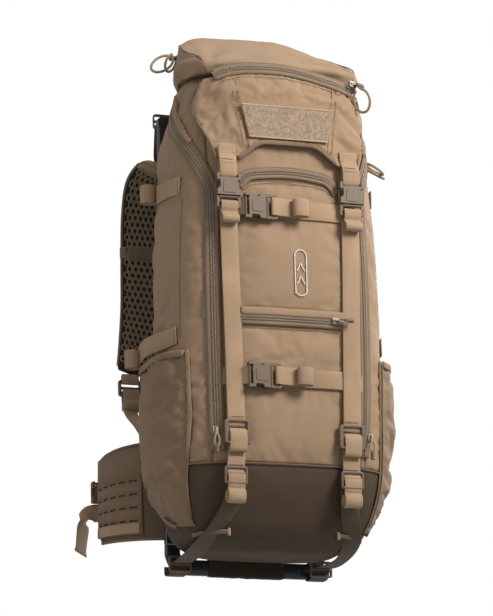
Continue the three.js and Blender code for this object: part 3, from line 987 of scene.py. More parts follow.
def make_pockets():
    for side, sign in SIDES.items():
        def point(u, v):
            u = u if sign < 0 else 1 - u
            z = lerp(POCKET_LOW, POCKET_TOP - 9 * (1 - u) ** 2, v)
            gathered = math.sin(u * 46) * 0.9 * ease(0.8, 1.0, v) * ease(0, 0.1, u) * ease(0, 0.1, 1 - u)
            return pocket_point(sign, u, z, gathered + pocket_fold(u, z))

        def held(place):
            seam = 1 - ease(3, 14, place.y - pocket_front(place.z))
            return max(0.75 * (1 - ease(3, 12, POCKET_TOP - place.z)), seam)

        cloth_panel(f"{side}_pocket_cloth", point, (44, 60), (175, 238), "root", "pocket",
                    [f"{side}_side_pocket"], held=held, cap=6, stretch=0.07, pressure=2.0, crease=2.2,
                    crease_size=62, seed=8 + sign, thick=1.8, tuck=1.0)

        work = Patchwork()
        for inset in (0.0, 0.08):
            heights = (270, 230, 190, 160, 130, 105, 85, 68, 56, 49)
            bag_ribbon(work, [pocket_point(sign, inset + 0.01, z, 0.8) for z in heights], 5.5, 2.4)
        seam = [pocket_point(sign, 0.985, z, 1.0) for z in (278, 240, 200, 160, 120, 90, 70, 54)]
        tube_mesh(work, seam, 1.1, step=4)
        work.piece(f"{side}_pocket_binding", "root", "binding")

        hem = [pocket_point(sign, u, POCKET_TOP - 4 - 9 * (1 - u) ** 2, 1.4)
               for u in (0.03, 0.2, 0.4, 0.6, 0.8, 0.97)]
        strap(f"{side}_pocket_hem", hem, Z_AXIS, "root", "pocket", width=9, thick=3.0)


# ------------------------------------------------------------------ lid
LID_ZIP = ((-100, 668), (-82, 674.5), (-61, 679), (-32, 681), (-1, 681), (28, 677), (57, 670.5), (80, 666),
           (103, 661))
LID_LOW, LID_HIGH = 674.5, 760
LID_APEX = Vector((-18, -38, 764))
LID_SHOULDER = 0.72     # the share of the lid's cloth that is below its flat top
LID_SEAM_TURNS = {      # the seam's place round the lid, in degrees, at each height
    "left": ((226, 676), (224, 692), (216, 712), (204, 735), (180, 750), (150, 757), (132, 757)),
    "right": ((-46, 676), (-44, 692), (-36, 712), (-22, 735), (0, 750), (28, 757), (48, 757)),
}
LID_SEAMS = {side: Route([ring(math.radians(turn), z, 0, LID) for turn, z in turns])
             for side, turns in LID_SEAM_TURNS.items()}
NEAR_LID_SEAM = {side: near_route(route, 13) for side, route in LID_SEAMS.items()}
FOLD_ROOTS = (Vector((-101, -160, 680)), Vector((108, -158, 680)))


def lid_zip_z(x):
    """Height of the lid's front zip."""
    for (x0, z0), (x1, z1) in zip(LID_ZIP, LID_ZIP[1:]):
        if x <= x1:
            return lerp(z0, z1, clamp((x - x0) / (x1 - x0)))
    return LID_ZIP[-1][1]


def seam_stand(place):
    """How far the lid's edge seams stand up: less where they run over the top."""
    return 1 - 0.85 * ease(730, 754, place.z)


def lid_folds(place):
    """Folds that fan out from the lid's front corners."""
    total = 0.0
    for root in FOLD_ROOTS:
        away = place - root
        far = away.length
        turn = math.atan2(away.z + 0.35 * away.y, abs(away.x) + 1)
        wave = math.sin(turn * 9 + far * 0.012)
        total += 1.9 * wave * ease(6, 30, far) * (1 - ease(55, 125, far))
    return total


def lid_point(u, v):
    """u goes round the lid and v from its lower edge over the shoulder to the apex."""
    angle = 2 * math.pi * u
    if v < LID_SHOULDER:
        place = ring(angle, lerp(LID_LOW, LID_HIGH, v / LID_SHOULDER), 0, LID)
    else:
        t = (v - LID_SHOULDER) / (1 - LID_SHOULDER)
        place = ring(angle, LID_HIGH, 0, LID).lerp(LID_APEX, t)
        place.z = lerp(LID_HIGH, LID_APEX.z, math.sin(t * math.pi / 2))
    ridge = max(NEAR_LID_SEAM[side](place) for side in SIDES)
    lift = 5.2 * seam_stand(place) * ridge ** 1.6 + lid_folds(place) * (1 - ridge)
    return place + shell_normal(place, LID) * lift


def make_lid():
    def held(place):
        ridge = max(NEAR_LID_SEAM[side](place) for side in SIDES)
        return ease(0.45, 0.9, ridge)

    cloth_panel("lid_cloth", lid_point, (176, 52), (760, 210), "lid", "shell", ["lid_shell"], held=held,
                cap=4.0, stretch=0.035, pressure=1.5, crease=1.7, crease_size=44, seed=11,
                wrap=True, tuck=0.5)
    work = Patchwork()

    def underside(u, v):
        edge = ring(2 * math.pi * u, 675, -1.2, LID)
        return at(*edge.lerp(Vector((0, -84, 676)), 0.98 * v))

    start, columns = work.grid(underside, 96, 8, (760, 90), wrap=True)
    work.cap(start + 8 * columns, columns, at(0, -84, 676), turn=True)
    piece = work.build("lid_underside", "lining")
    add_thickness(piece, 0.8, -1)
    settle(piece, "lid", "lining")

    work = Patchwork()
    for side, sign in SIDES.items():
        seam = [place + shell_normal(place, LID) * (0.4 + 4.5 * seam_stand(place))
                for place in LID_SEAMS[side].samples[::12]]
        tube_mesh(work, seam, 0.9, step=4)
        line = [place + Vector((-sign * 5, 0, 0)) + shell_normal(place, LID) * 4.6
                for place in LID_SEAMS[side].samples[6::12] if place.z < 728]
        stitch_mesh(work, line, lambda place: shell_normal(place, LID))
    work.piece("lid_seams", "lid", "thread")


# ------------------------------------------------------------------ zips
def zip_mesh(work, points, rows=BAG, width=21.0):
    """A coil zip: two flat tapes with stitched edges, and a coil of real teeth between them."""
    bag_ribbon(work, points, width, 1.4, "tape", rows)
    route = Route(points)
    count = int(route.length / 4)
    centre = [route.at(i / count) for i in range(count + 1)]
    for side in (-1, 1):
        lip, seam = [], []
        for place, ahead in centre:
            normal = shell_normal(place, rows)
            across = ahead.cross(normal).normalized()
            lip.append(place + across * side * width * 0.32 + normal * 0.5)
            seam.append(place + across * side * width * 0.4 + normal * 1.0)
        bag_ribbon(work, lip[::2], width * 0.3, 1.2, "tape", rows)
        stitch_mesh(work, seam[::2], lambda place: shell_normal(place, rows))
    pitch = 2.5
    for i in range(int(route.length / pitch)):
        place, ahead = route.at((i + 0.5) * pitch / route.length)
        normal = shell_normal(place, rows)
        across = ahead.cross(normal).normalized()
        for side in (-1, 1):
            spot = place + across * side * 1.75 + ahead * (side * pitch * 0.25) + normal * 1.3
            work.block(at(*spot), (1.3 * MM, 2.6 * MM, 1.7 * MM), (ahead, across, normal), "teeth")


def pull_mesh(work, place, down, out, long):
    """A zip slider: a body with side rails, a bridge, and a cord pull with a moulded end."""
    side = down.cross(out).normalized()

    def local(x, y, z):
        return place + side * x - out * y - down * z

    for front, back in ((-2.2, -0.6), (1.0, 2.2)):
        plate_mesh(work, [rounded_box(0, 0, 8.6, 11.6, 2.6)], front, back, 0.4, lambda p: local(*p), "zip")
    bridge = at_x(0, (-2.0, 4.6), (-4.6, 2.6), (-4.6, -2.6), (-2.0, -4.6))
    tube_mesh(work, [local(*p) for p in bridge], 0.9, "zip", step=1.2)
    there = [(0, -4.4, -1.5), (-2.2, -6.6, -7), (-3.6, -6.2, -15), (-2.2, -6, -long + 6)]
    cord = there + [(0, -6, -long)] + mirrored(-1, *reversed(there))
    tube_mesh(work, [local(*p) for p in cord], 1.25, "cord", step=1.6)
    tube_mesh(work, [local(0, -6, -long + 9), local(0, -6.2, -long - 3)], 3.0, "buckle", step=2)


def pull_loop(work, place, hang, side, size):
    """A stiff moulded pull ring that hangs from a slider."""
    centre = place + hang * size * 0.62
    points = []
    for i in range(15):
        angle = math.radians(24 + 312 * i / 14)
        points.append(centre - hang * math.cos(angle) * size * 0.56 + side * math.sin(angle) * size * 0.42)
    tube_mesh(work, points, 1.9, "cord", step=1.4, sides=8)


def make_bag_zips():
    for side, sign in SIDES.items():
        work = Patchwork()
        zip_mesh(work, side_zip_points(sign, 1.4))
        work.piece(f"{side}_side_zip", "root", "tape")
        work = Patchwork()
        pull_mesh(work, Vector((sign * 112.5, -188.6, 166)), -Z_AXIS, -Y_AXIS, 27)
        hard_piece(work, f"{side}_side_zip_pull", f"{side}_side_zip", "zip", f"{side}_side_zip_slider")

    work = Patchwork()
    zip_mesh(work, [front_at(x, 323, 2.4) for x in range(-75, 76, 25)], width=18)
    arch = (-74, -66, -56, -40, -20, 0, 20, 40, 56, 66, 74)
    zip_mesh(work, [front_at(x, arch_z(x), 2.2) for x in arch], width=17)
    work.piece("front_zips", "root", "tape")
    work = Patchwork()
    pull_mesh(work, Vector((62, -199.4, 325)), X_AXIS, -Y_AXIS, 20)
    hard_piece(work, "front_zip_pull", "front_zip", "zip", "front_zip_slider")


def make_lid_zips():
    work = Patchwork()
    zip_mesh(work, [front_at(x, z, 1.6, APRON) for x, z in LID_ZIP], APRON, 19)
    back = [ring(math.radians(turn), 746, 2.4, LID) for turn in (138, 128, 118, 104, 90, 76, 62, 52, 44)]
    zip_mesh(work, back, LID, 16)
    work.piece("lid_zips", "lid", "tape")
    work = Patchwork()
    pull_mesh(work, Vector((104, -182.2, 668)), Vector((0.93, 0.2, -0.3)).normalized(),
              Vector((0.1, -0.95, 0.1)).normalized(), 12)
    pull_loop(work, Vector((112, -184, 664)), Vector((0.25, 0, -0.97)), Vector((0.6, -0.75, 0.15)), 30)
    hard_piece(work, "lid_front_zip_pull", "lid_front_zip", "zip", "lid_front_zip_slider")
    work = Patchwork()
    pull_mesh(work, Vector((-80, 9.4, 748)), -X_AXIS, Y_AXIS, 12)
    pull_loop(work, Vector((-92, 12, 750)), Vector((-0.75, 0.2, -0.63)), Vector((0.55, -0.5, -0.6)), 30)
    pull_loop(work, Vector((-88, 12, 754)), Vector((-0.35, 0.2, -0.9)), Vector((0.8, 0.5, -0.2)), 24)
    hard_piece(work, "lid_rear_zip_pull", "lid_rear_zip", "zip", "lid_rear_zip_slider")


def make_upper_rings():
    """Two pull rings at the upper end of the right main zip."""
    work = Patchwork()
    seat = side_at(1, -126, 572, 3)
    pull_loop(work, seat, Vector((0.55, -0.5, -0.5)), Vector((0.5, 0.8, -0.1)), 30)
    pull_loop(work, seat + Vector((2, 4, -6)), Vector((0.9, 0, -0.4)), Vector((0.2, 0.9, 0.3)), 26)
    plate_mesh(work, [rounded_box(0, 0, 9, 12, 2.5)], -1.5, 1.5, 0.4,
               lambda p: seat + Vector((p[1] * 0.9, p[0], p[2] * 0.7)), "zip")
    hard_piece(work, "right_upper_zip_rings", "root", "cord")


# ------------------------------------------------------------------ apron of the lid
PATCH_LOW, PATCH_HIGH = 577, 624
PATCH_HALF = (58, 68)       # half the patch's width at its foot and its top
APRON_LEG = 544     # height of the legs' lower ends
APRON_ARCH = 569    # height of the arch between them
APRON_HALF = 104    # half the width across the legs


def apron_half(z):
    """Half the apron's width: it spreads round the corners of the bag, then draws in to the zip's ends."""
    return APRON_HALF + 22 * (ease(536, 625, z) - ease(632, 684, z))


def apron_low(x):
    """The apron's lower edge: an arch between two legs."""
    return APRON_LEG + (APRON_ARCH - APRON_LEG) * (1 - ease(30, 78, abs(x)) ** 1.3)


def apron_point(x, z, lift=0.0):
    return front_at(x, z, lift, APRON)


def patch_point(x, z, lift):
    """A place on the name patch, which lies on the apron's face and leans back with it."""
    return Vector((x, -192.6 - (645 - z) * 0.065 - lift, z))


def apron_fold(place):
    """Soft folds that hang from the zip's ends."""
    corner = (abs(place.x) - 72) * 0.6 + (place.z - 640) * 0.9
    wave = math.sin(corner * 0.15) + 0.4 * math.sin(corner * 0.31 + 1)
    return 1.5 * wave * ease(66, 92, abs(place.x)) * ease(548, 585, place.z)


def make_apron():
    def point(u, v):
        share = 2 * u - 1
        z = lerp(apron_low(share * APRON_HALF), lid_zip_z(share * APRON_HALF) - 4, v)
        place = apron_point(share * apron_half(z), z)
        return place + shell_normal(place, APRON) * (apron_fold(place) * ease(0, 0.12, min(v, 1 - v)))

    def held(place):
        patch = (1 - ease(60, 72, abs(place.x))) * (1 - ease(28, 36, abs(place.z - 603)))
        hem = 1 - ease(2, 9, place.z - apron_low(place.x))
        zip_seam = 1 - ease(2, 10, lid_zip_z(place.x) - 4 - place.z)
        return max(patch, hem, zip_seam)

    cloth_panel("lid_apron_cloth", point, (72, 36), (250, 125), "lid", "shell", ["lid_apron"], held=held,
                cap=4.0, stretch=0.05, pressure=1.0, crease=1.4, crease_size=40, tuck=0.4, seed=17,
                thick=2.2)

    work = Patchwork()
    strap_mesh(work, [apron_point(x, apron_low(x) + 1.5, 0.4) for x in range(-74, 75, 12)], (0, 0, 1), 5, 3.2)
    for sign in SIDES.values():
        edge = [apron_point(sign * (apron_half(z) - 1), z, 0.4) for z in (545, 560, 580, 600, 620, 640, 656)]
        tube_mesh(work, edge, 1.5)
    work.piece("apron_binding", "lid", "binding")

    work = Patchwork()
    for x0, x1 in ((57, 72), (64, 79)):
        for sign in SIDES.values():
            line = [apron_point(sign * lerp(x0, x1, k / 4), lerp(560, 662, k / 4), 1.6) for k in range(5)]
            stitch_mesh(work, line, -Y_AXIS)
    stitch_mesh(work, [apron_point(x, lid_zip_z(x) - 14, 1.8) for x in range(-88, 89, 11)], (0, -1, 0.3))
    stitch_mesh(work, [apron_point(x, apron_low(x) + 7, 0.8) for x in range(-70, 71, 14)], -Y_AXIS)
    for sign in SIDES.values():
        for z in (548, 553):
            stitch_mesh(work, [apron_point(sign * x, z, 0.9) for x in (78, 84, 90, 96, 101)], -Y_AXIS)
    work.piece("apron_stitching", "lid", "thread")

    def patch(u, v):
        z = lerp(PATCH_LOW, PATCH_HIGH, v)
        x = (2 * u - 1) * lerp(*PATCH_HALF, v)
        rough = 0.45 * noise.noise(Vector((x, z, 3)) * 0.8) + 0.5 * noise.noise(Vector((x, z, 9)) * 0.33)
        rim = min(min(u, 1 - u) * 130, min(v, 1 - v) * 47)
        return at(*patch_point(x, z, 0.4 + 1.7 * ease(0, 1.6, rim) + rough * ease(0, 2, rim)))

    sheet_piece("name_patch_pile", patch, (120, 46), (130, 47), "lid", "pile", 0.9, ["loop_patch"])
    work = Patchwork()
    for z, half in ((577.5, 58), (623.5, 67.5)):
        edge = [patch_point(x, z, 1.8) for x in (-half, -half / 2, 0, half / 2, half)]
        strap_mesh(work, edge, Z_AXIS, 2.2, 1.6)
    work.piece("name_patch_edges", "lid", "pale_thread")


# ------------------------------------------------------------------ buckles
class Stand:
    """A buckle's own axes: its mouth at the origin, and its strap pulling along its own -Z."""

    def __init__(self, x, y, z, turned=False):
        self.origin = Vector((x, y, z))
        self.turned = turned

    def __call__(self, place):
        x, y, z = place
        if self.turned:
            x, z = -z, x
        return self.origin + Vector((x, y, z))


def socket_piece(name, stand, body, node):
    """A side-release buckle's socket: two faces joined at their edges, and a strap bar."""
    work = Patchwork()
    half = [(17.5, 0), (17.5, 8.5), (12.8, 11), (12.8, 20.5), (16, 23.5), (12, 25.5)]
    front = rounded([(-17.5, 0)] + half + [(-x, z) for x, z in reversed(half[1:])], 2.0)
    plate_mesh(work, [front], -10.5, -7.9, 0.7, stand)
    crest = rounded([(-9.5, 3), (9.5, 3), (8, 21), (-8, 21)], 2.5)
    plate_mesh(work, [crest], -11.2, -9.5, 0.5, stand)
    back = [rounded_box(0, 15.5, 35, 31, 2.5), rounded_box(0, 27.2, 26, 4.2, 1.2)]
    plate_mesh(work, back, -2.7, -0.5, 0.6, stand)
    for sign in (-1, 1):
        plate_mesh(work, [rounded_box(sign * 15.7, 4.2, 3.6, 8.4, 1.0)], -10.3, -0.7, 0.5, stand)
        plate_mesh(work, [rounded_box(sign * 15.4, 26, 4.2, 10, 1.6)], -10.3, -0.7, 0.7, stand)
    tube_mesh(work, [stand((x, -5.6, 28.3)) for x in (-15, 0, 15)], 2.0)
    return hard_piece(work, name, body, "buckle", node)


def tongue_piece(name, stand, body, node):
    """A side-release buckle's tongue: a slotted frame, two prongs and a middle guide."""
    work = Patchwork()
    frame_loops = [rounded_box(0, -8.7, 35, 16.6, 2.2), rounded_box(0, -12.6, WEB + 0.6, 3.6, 1.0),
                   rounded_box(0, -6.3, WEB + 0.6, 3.6, 1.0)]
    plate_mesh(work, frame_loops, -7.5, -3.4, 0.8, stand)
    for z in (-9.5, -2.2):
        tube_mesh(work, [stand((x, -7.2, z)) for x in (-13.5, 0, 13.5)], 1.5)
    for sign in (-1, 1):
        prong = [(6.2, -1), (11.2, -1), (12.6, 8), (14.2, 10.5), (14.0, 16), (11.0, 19), (8.6, 18), (8.0, 10)]
        plate_mesh(work, [rounded([(sign * x, z) for x, z in prong], 1.4)], -7.3, -3.6, 0.6, stand)
    plate_mesh(work, [rounded([(-2, -1), (2, -1), (1.6, 13), (-1.6, 13)], 1.0)], -7.3, -3.6, 0.5, stand)
    return hard_piece(work, name, body, "buckle", node)


def ladder_piece(name, stand, size, body, *nodes):
    """A ladder-lock buckle: a rounded frame, two slots, a raised toothed bar and a lifted lower lip."""
    work = Patchwork()
    wide, high, thick = size
    bar = 3.4
    slot = (high - 3 * bar) / 2
    loops = [rounded_box(0, 0, wide, high, 4.5)]
    for sign in (-1, 1):
        loops.append(rounded_box(0, sign * (slot + bar) / 2, WEB + 0.8, slot - 0.4, 1.2))
    plate_mesh(work, loops, -thick, 0, min(1.1, thick / 3), stand)
    for z, lift in ((0, thick * 0.75), (-(high - bar) / 2, thick + 0.3)):
        tube_mesh(work, [stand((x, -lift, z)) for x in (-wide * 0.42, 0, wide * 0.42)], bar / 2)
    for i in range(9):
        spot = stand((lerp(-11, 11, i / 8), -thick * 0.75 - 1.5, 0.4))
        work.block(at(*spot), (1.3 * MM, 1.0 * MM, 1.6 * MM))
    hard_piece(work, name, body, "buckle", *nodes)


def spiral(centre, first, second, inner, outer, turns, start=0.0):
    """Points of a rolled strap end, from outside in."""
    count = int(turns * 14)
    points = []
    for i in range(count + 1):
        angle = start + 2 * math.pi * turns * i / count
        radius = lerp(outer, inner, i / count)
        points.append(centre + (first * math.cos(angle) + second * math.sin(angle)) * radius)
    return points


# ------------------------------------------------------------------ long front straps
def make_lid_buckle(side, sign):
    """The buckle between the lid's leg and the long strap, with the webbing sewn to its two halves."""
    x = sign * STRAP_X + sign
    stand = Stand(x, -193.4, 491)
    socket_piece(f"{side}_lid_buckle_socket", stand, "lid", f"{side}_lid_socket")
    tongue_piece(f"{side}_lid_buckle_tongue", stand, f"{side}_lid_buckle", f"{side}_lid_tongue")

    work = Patchwork()
    tab = [apron_point(x - sign, 566, 1.6), apron_point(x - sign, 552, 1.7)]
    tab += at_x(x, (-200.6, 540), (-201.6, 526), (-200.4, 519), (-198.2, 516.6), (-196.4, 519), (-196.2, 526),
                (-197, 542))
    strap_mesh(work, tab, X_AXIS, WEB - 0.6, 1.5, step=2)
    for y, z in ((-201.9, 537), (-201.3, 542)):
        stitch_mesh(work, [(x + t, y, z) for t in (-10, 0, 10)], -Y_AXIS)
    work.piece(f"{side}_lid_strap_tab", "lid", "webbing")

    # the strap's free end: over the tongue's bar, then rolled up below it
    over = at_x(x, (-197.2, 474), (-198, 481), (-201.8, 483.6), (-203.8, 480), (-203.4, 473), (-201.4, 468))
    over += spiral(Vector((x, -202.6, 458)), Z_AXIS, -Y_AXIS, 1.4, 6.4, 2.3, math.radians(20))
    strap(f"{side}_lid_strap_end", over, X_AXIS, f"{side}_lid_buckle", width=WEB - 1, thick=1.5, step=1.6)


def make_strap_ladders(side, sign):
    """The two ladder locks at the long strap's foot, with the stitched webbing that joins them."""
    x = sign * (STRAP_X - 6)
    ladder_piece(f"{side}_strap_ladder_lock", Stand(x, -191.8, 165), (38, 34, 6), "root",
                 f"{side}_strap_ladder")
    ladder_piece(f"{side}_base_ladder_lock", Stand(x + sign, -185.8, 107), (33, 25, 5), "root",
                 f"{side}_base_ladder")

    work = Patchwork()
    fold = at_x(x, (-193.6, 170), (-198.6, 166), (-200.6, 158), (-199.4, 149), (-197.6, 141), (-193.4, 138.4),
                (-190.4, 143), (-190, 152))
    strap_mesh(work, fold, X_AXIS, WEB - 0.8, 1.6, step=2)
    tab = [(x, -189.8, 140), (x, -189.4, 132), (x + sign * 0.5, -188.2, 122), (x + sign, -187.8, 114),
           (x + sign, -191.6, 109)]
    strap_mesh(work, tab, X_AXIS, WEB - 0.4, 1.6, step=3)
    for y, z in ((-190.8, 134), (-189.5, 121), (-196.3, 186)):
        stitch_mesh(work, [(x + t, y, z) for t in (-11, 0, 11)], -Y_AXIS, pitch=2.6, long=1.9)
    work.piece(f"{side}_ladder_webbing", "root", "webbing")


def make_base_strap(side, sign):
    """Below the base ladder: over the bar, a rolled end, and the strap on round the base to the frame."""
    x = sign * (STRAP_X - 5)
    roll = at_x(x, (-187.4, 103), (-190.6, 109), (-192.6, 104), (-191.4, 95), (-189, 88))
    roll += spiral(Vector((x, -185.6, 79.5)), Z_AXIS * 1.25, -Y_AXIS, 1.5, 8.4, 3.1, math.radians(30))
    strap(f"{side}_base_strap_roll", roll, X_AXIS, "root", width=WEB - 0.6, thick=1.6, step=1.6)

    under = mirrored(sign, (82, -182.3, 96), (84, -176.5, 78), (89, -166, 62), (97, -149, 46),
                     (105, -126, 30), (108, -96, 19), (108, -60, 14.5), (106, -30, 14), (104, -19, 16))
    turns = [(1, y * sign, z * sign) for y, z in ((0, 0), (0, 0), (-0.15, 0), (-0.3, 0), (-0.3, 0.2),
                                                  (-0.1, 0.2), (0, 0.1), (0, 0), (0, 0))]
    strap(f"{side}_base_webbing", under, turns, "root", "dark_webbing", [f"{side}_base_strap"], thick=1.6)

    # the bound slit that the strap passes through, with a small rod in its inner end
    work = Patchwork()
    slit = [ring(angle_of(Vector((sign * x, y, 40))), z, 3.4)
            for x, y, z in ((120, -118, 36), (110, -132, 37), (97, -142, 38), (84, -148, 38))]
    strap_mesh(work, slit, (0, -0.5, 1), 6, 2.4, "binding")
    tube_mesh(work, [slit[-1] + Z_AXIS * t for t in (-5, 0, 5)], 2.2, "cord")
    work.piece(f"{side}_base_slit", "root", "binding")


def make_front_straps():
    for side, sign in SIDES.items():
        make_lid_buckle(side, sign)
        inward = ((0, -195.3, 470), (0, -195, 466), (1, -195.1, 400), (3, -195.2, 300), (5, -194.2, 190),
                  (5.5, -193.2, 172))
        path = [(sign * (STRAP_X - shift), y, z) for shift, y, z in inward]
        strap(f"{side}_front_webbing", path, X_AXIS, "root", nodes=[f"{side}_front_strap"], thick=1.7)
        make_strap_ladders(side, sign)
        make_base_strap(side, sign)


# ------------------------------------------------------------------ compression straps
def make_compression():
    for level, z in COMPRESSION.items():
        body = f"{level}_strap_buckle"
        stand = Stand(-38, -197.2, z, turned=True)
        socket_piece(f"{level}_buckle_socket", stand, "root", f"{level}_strap_socket")
        tongue_piece(f"{level}_buckle_tongue", stand, body, f"{level}_strap_tongue")

        back = [front_at(x, z, lift) for x, lift in ((-104, 1.4), (-92, 1.6), (-80, 1.8))]
        back += at_z(z, (-74, -195.6), (-69, -200.6), (-65.6, -203.4), (-64, -202), (-66, -199.6))
        strap(f"{level}_buckle_anchor", back, Z_AXIS, "root", width=WEB - 0.6, thick=1.5, step=2.5)

        path = [(-24, -197.4, z)] + [front_at(x, z, 2.2) for x in (-14, 0, 25, 50, 75, 90, 104)]
        strap(f"{level}_front_webbing", path, Z_AXIS, "root", nodes=[f"{level}_strap"], thick=1.6)

        over = at_z(z, (-22, -200), (-28, -203), (-30, -206.6), (-26, -207.6), (-18, -205.4), (-6, -203),
                    (2, -202.6))
        over += spiral(Vector((11, -208.6, z)), Y_AXIS, X_AXIS * 1.7, 1.4, 7.2, 3.2, math.radians(15))
        strap(f"{level}_strap_end", over, Z_AXIS, body, width=WEB - 0.8, thick=1.5, step=1.6)


# ------------------------------------------------------------------ side straps
SIDE_STRAPS = {
    # from front to back: depth, height, and how far the strap stands off the bag
    "upper": ((-146, 515, 2.4), (-120, 517, 2.5), (-90, 519, 2.6), (-68, 521, 3.4), (-56, 522, 6)),
    "lower": ((-146, 305, 2.4), (-122, 304, 3), (-102, 303, 9), (-80, 301, 17), (-62, 296, 20.5),
              (-46, 289, 22)),
}


def make_side_straps():
    for side, sign in SIDES.items():
        for level, stations in SIDE_STRAPS.items():
            work = Patchwork()
            path = [side_at(sign, y, z, off) for y, z, off in stations]
            strap_mesh(work, path, Z_AXIS, WEB, 1.6)
            end = path[-1]
            out = Vector((sign, 0, 0))
            roll = [end, end + out * 3 + Y_AXIS * 4]
            roll += spiral(end + out * 9 - Y_AXIS * 5, Y_AXIS, out, 1.8, 11, 3.2, math.radians(10))
            strap_mesh(work, roll, Z_AXIS, WEB, 1.6, step=1.6)
            tack = [path[0] + out * 1.4 + Vector((0, 3, t)) for t in (-10, 0, 10)]
            stitch_mesh(work, tack, out, pitch=2.6, long=1.9)
            work.piece(f"{side}_{level}_side_webbing", "root", "webbing", f"{side}_{level}_side_strap")


# ------------------------------------------------------------------ generic printed mark
def make_mark():
    """A plain upright badge outline with two peaks: not anyone's sign."""
    work = Patchwork()
    x, z = 12, 389
    half, tall, radius = 8.5, 32, 8.5

    def on_front(dx, dz):
        return front_at(x + dx, z + dz, 0) + Vector((0, -5.6, 0))

    outline = []
    for k in range(24):
        angle = 2 * math.pi * k / 24
        dz = (tall - radius) * (1 if math.sin(angle) >= 0 else -1)
        outline.append(on_front(math.cos(angle) * half, dz + math.sin(angle) * radius))
    outline.append(outline[0])
    tube_mesh(work, outline, 0.7, sides=6)
    for low in (-16, 2):
        peak = [on_front(x, low + rise) for x, rise in ((-6, 0), (-3, 5), (0, 11), (3, 5), (6, 0))]
        tube_mesh(work, peak, 0.7, sides=6)
    work.piece("printed_mark", "root", "mark")


# ------------------------------------------------------------------ frame, sleeve and lower straps
def make_frame():
    for name in ("left_stay", "right_stay", "top_crossbar"):
        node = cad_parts[name]
        node.data.materials.clear()
        node.data.materials.append(CLOTH["frame"])

    right = [(x, 7, z) for x, z in ((60, 13), (84, 13), (93, 13.8), (102, 19), (106.6, 29), (107, 36),
                                    (107, 43.5))]
    path = mirrored(-1, *reversed(right)) + [(0, 7, 13)] + right
    work = Patchwork()
    route = Route(path)

    def point(u, v):
        place, ahead = route.at(v)
        side = ahead.cross(Y_AXIS).normalized()
        angle = 2 * math.pi * u
        across, deep = bent(math.cos(angle), 0.55) * 11, bent(math.sin(angle), 0.55) * 5
        return at(*(place + side * across + Y_AXIS * deep))

    start, columns = work.grid(point, 28, 120, (60, route.length), wrap=True)
    work.cap(start, columns, at(*path[0]), turn=True)
    work.cap(start + 120 * columns, columns, at(*path[-1]))
    work.piece("bottom_bar", "root", "frame", "bottom_crossbar")

    def sleeve(u, v):
        angle = 2 * math.pi * u
        x = lerp(-56, 56, v)
        rim = min(v, 1 - v) * 112
        grow = 0.8 * crumple((x, angle * 6, 0), 24, 3) - 0.9 * math.exp(-rim / 2)
        across = bent(math.cos(angle), 0.5) * (12.6 + grow)
        deep = bent(math.sin(angle), 0.5) * (6.6 + grow)
        return at(x, 7 + deep, 13.2 + across)

    work = Patchwork()
    work.grid(sleeve, 40, 56, (76, 112), wrap=True)
    piece = work.build("frame_sleeve_cloth", "sleeve")
    add_thickness(piece, 1.0, -1)
    settle(piece, "root", "sleeve", "frame_sleeve")

    for side, sign in SIDES.items():
        x = sign * 104
        ladder_piece(f"{side}_frame_ladder", Stand(x, -13, 13.5), (33, 23, 4.6), "root")
        loop = at_x(x, (-15, 14), (-12.6, 7), (-9, 2.2), (-2, 0.6), (8, 0.4), (14, 4), (14.6, 14))
        strap(f"{side}_frame_loop", loop, X_AXIS, "root", "dark_webbing", thick=1.4, step=2)


# ------------------------------------------------------------------ pads
def pad_ring(angle, wide, thick):
    """A crowned pad's section: flat faces, full round edges."""
    return bent(math.cos(angle), 0.62) * wide / 2, bent(math.sin(angle), 0.8) * thick / 2


def cushion_piece(name, z, wide, high, low_y, high_y, node, channels):
    """A back pad: swollen by cloth simulation, then quilted where its channels run."""
    def point(u, v):
        t, h = 2 * u - 1, 2 * v - 1
        round_off = (abs(t) ** 6 + abs(h) ** 6) ** (1 / 6)
        plump = max(0.0, 1 - round_off ** 5) ** 0.5
        px = t * wide / 2 * (1 - 0.06 * h * h)
        pz = z + h * high / 2 * (1 - 0.06 * t * t)
        groove = max([0.0] + [1 - clamp(abs(pz - line) / 5) for line in channels])
        return Vector((px, lerp(low_y + 2, high_y - 3 * groove, plump), pz))

    def held(place):
        return max([0.0] + [1 - clamp(abs(place.z - line) / 6) for line in channels])

    cloth_panel(name, lambda u, v: point(1 - u, v), (34, 34), (wide, high), "root", "foam", [node], held=held,
                cap=2.0, stretch=0.01, pressure=3, crease=0.3, tuck=0, thick=1.2)


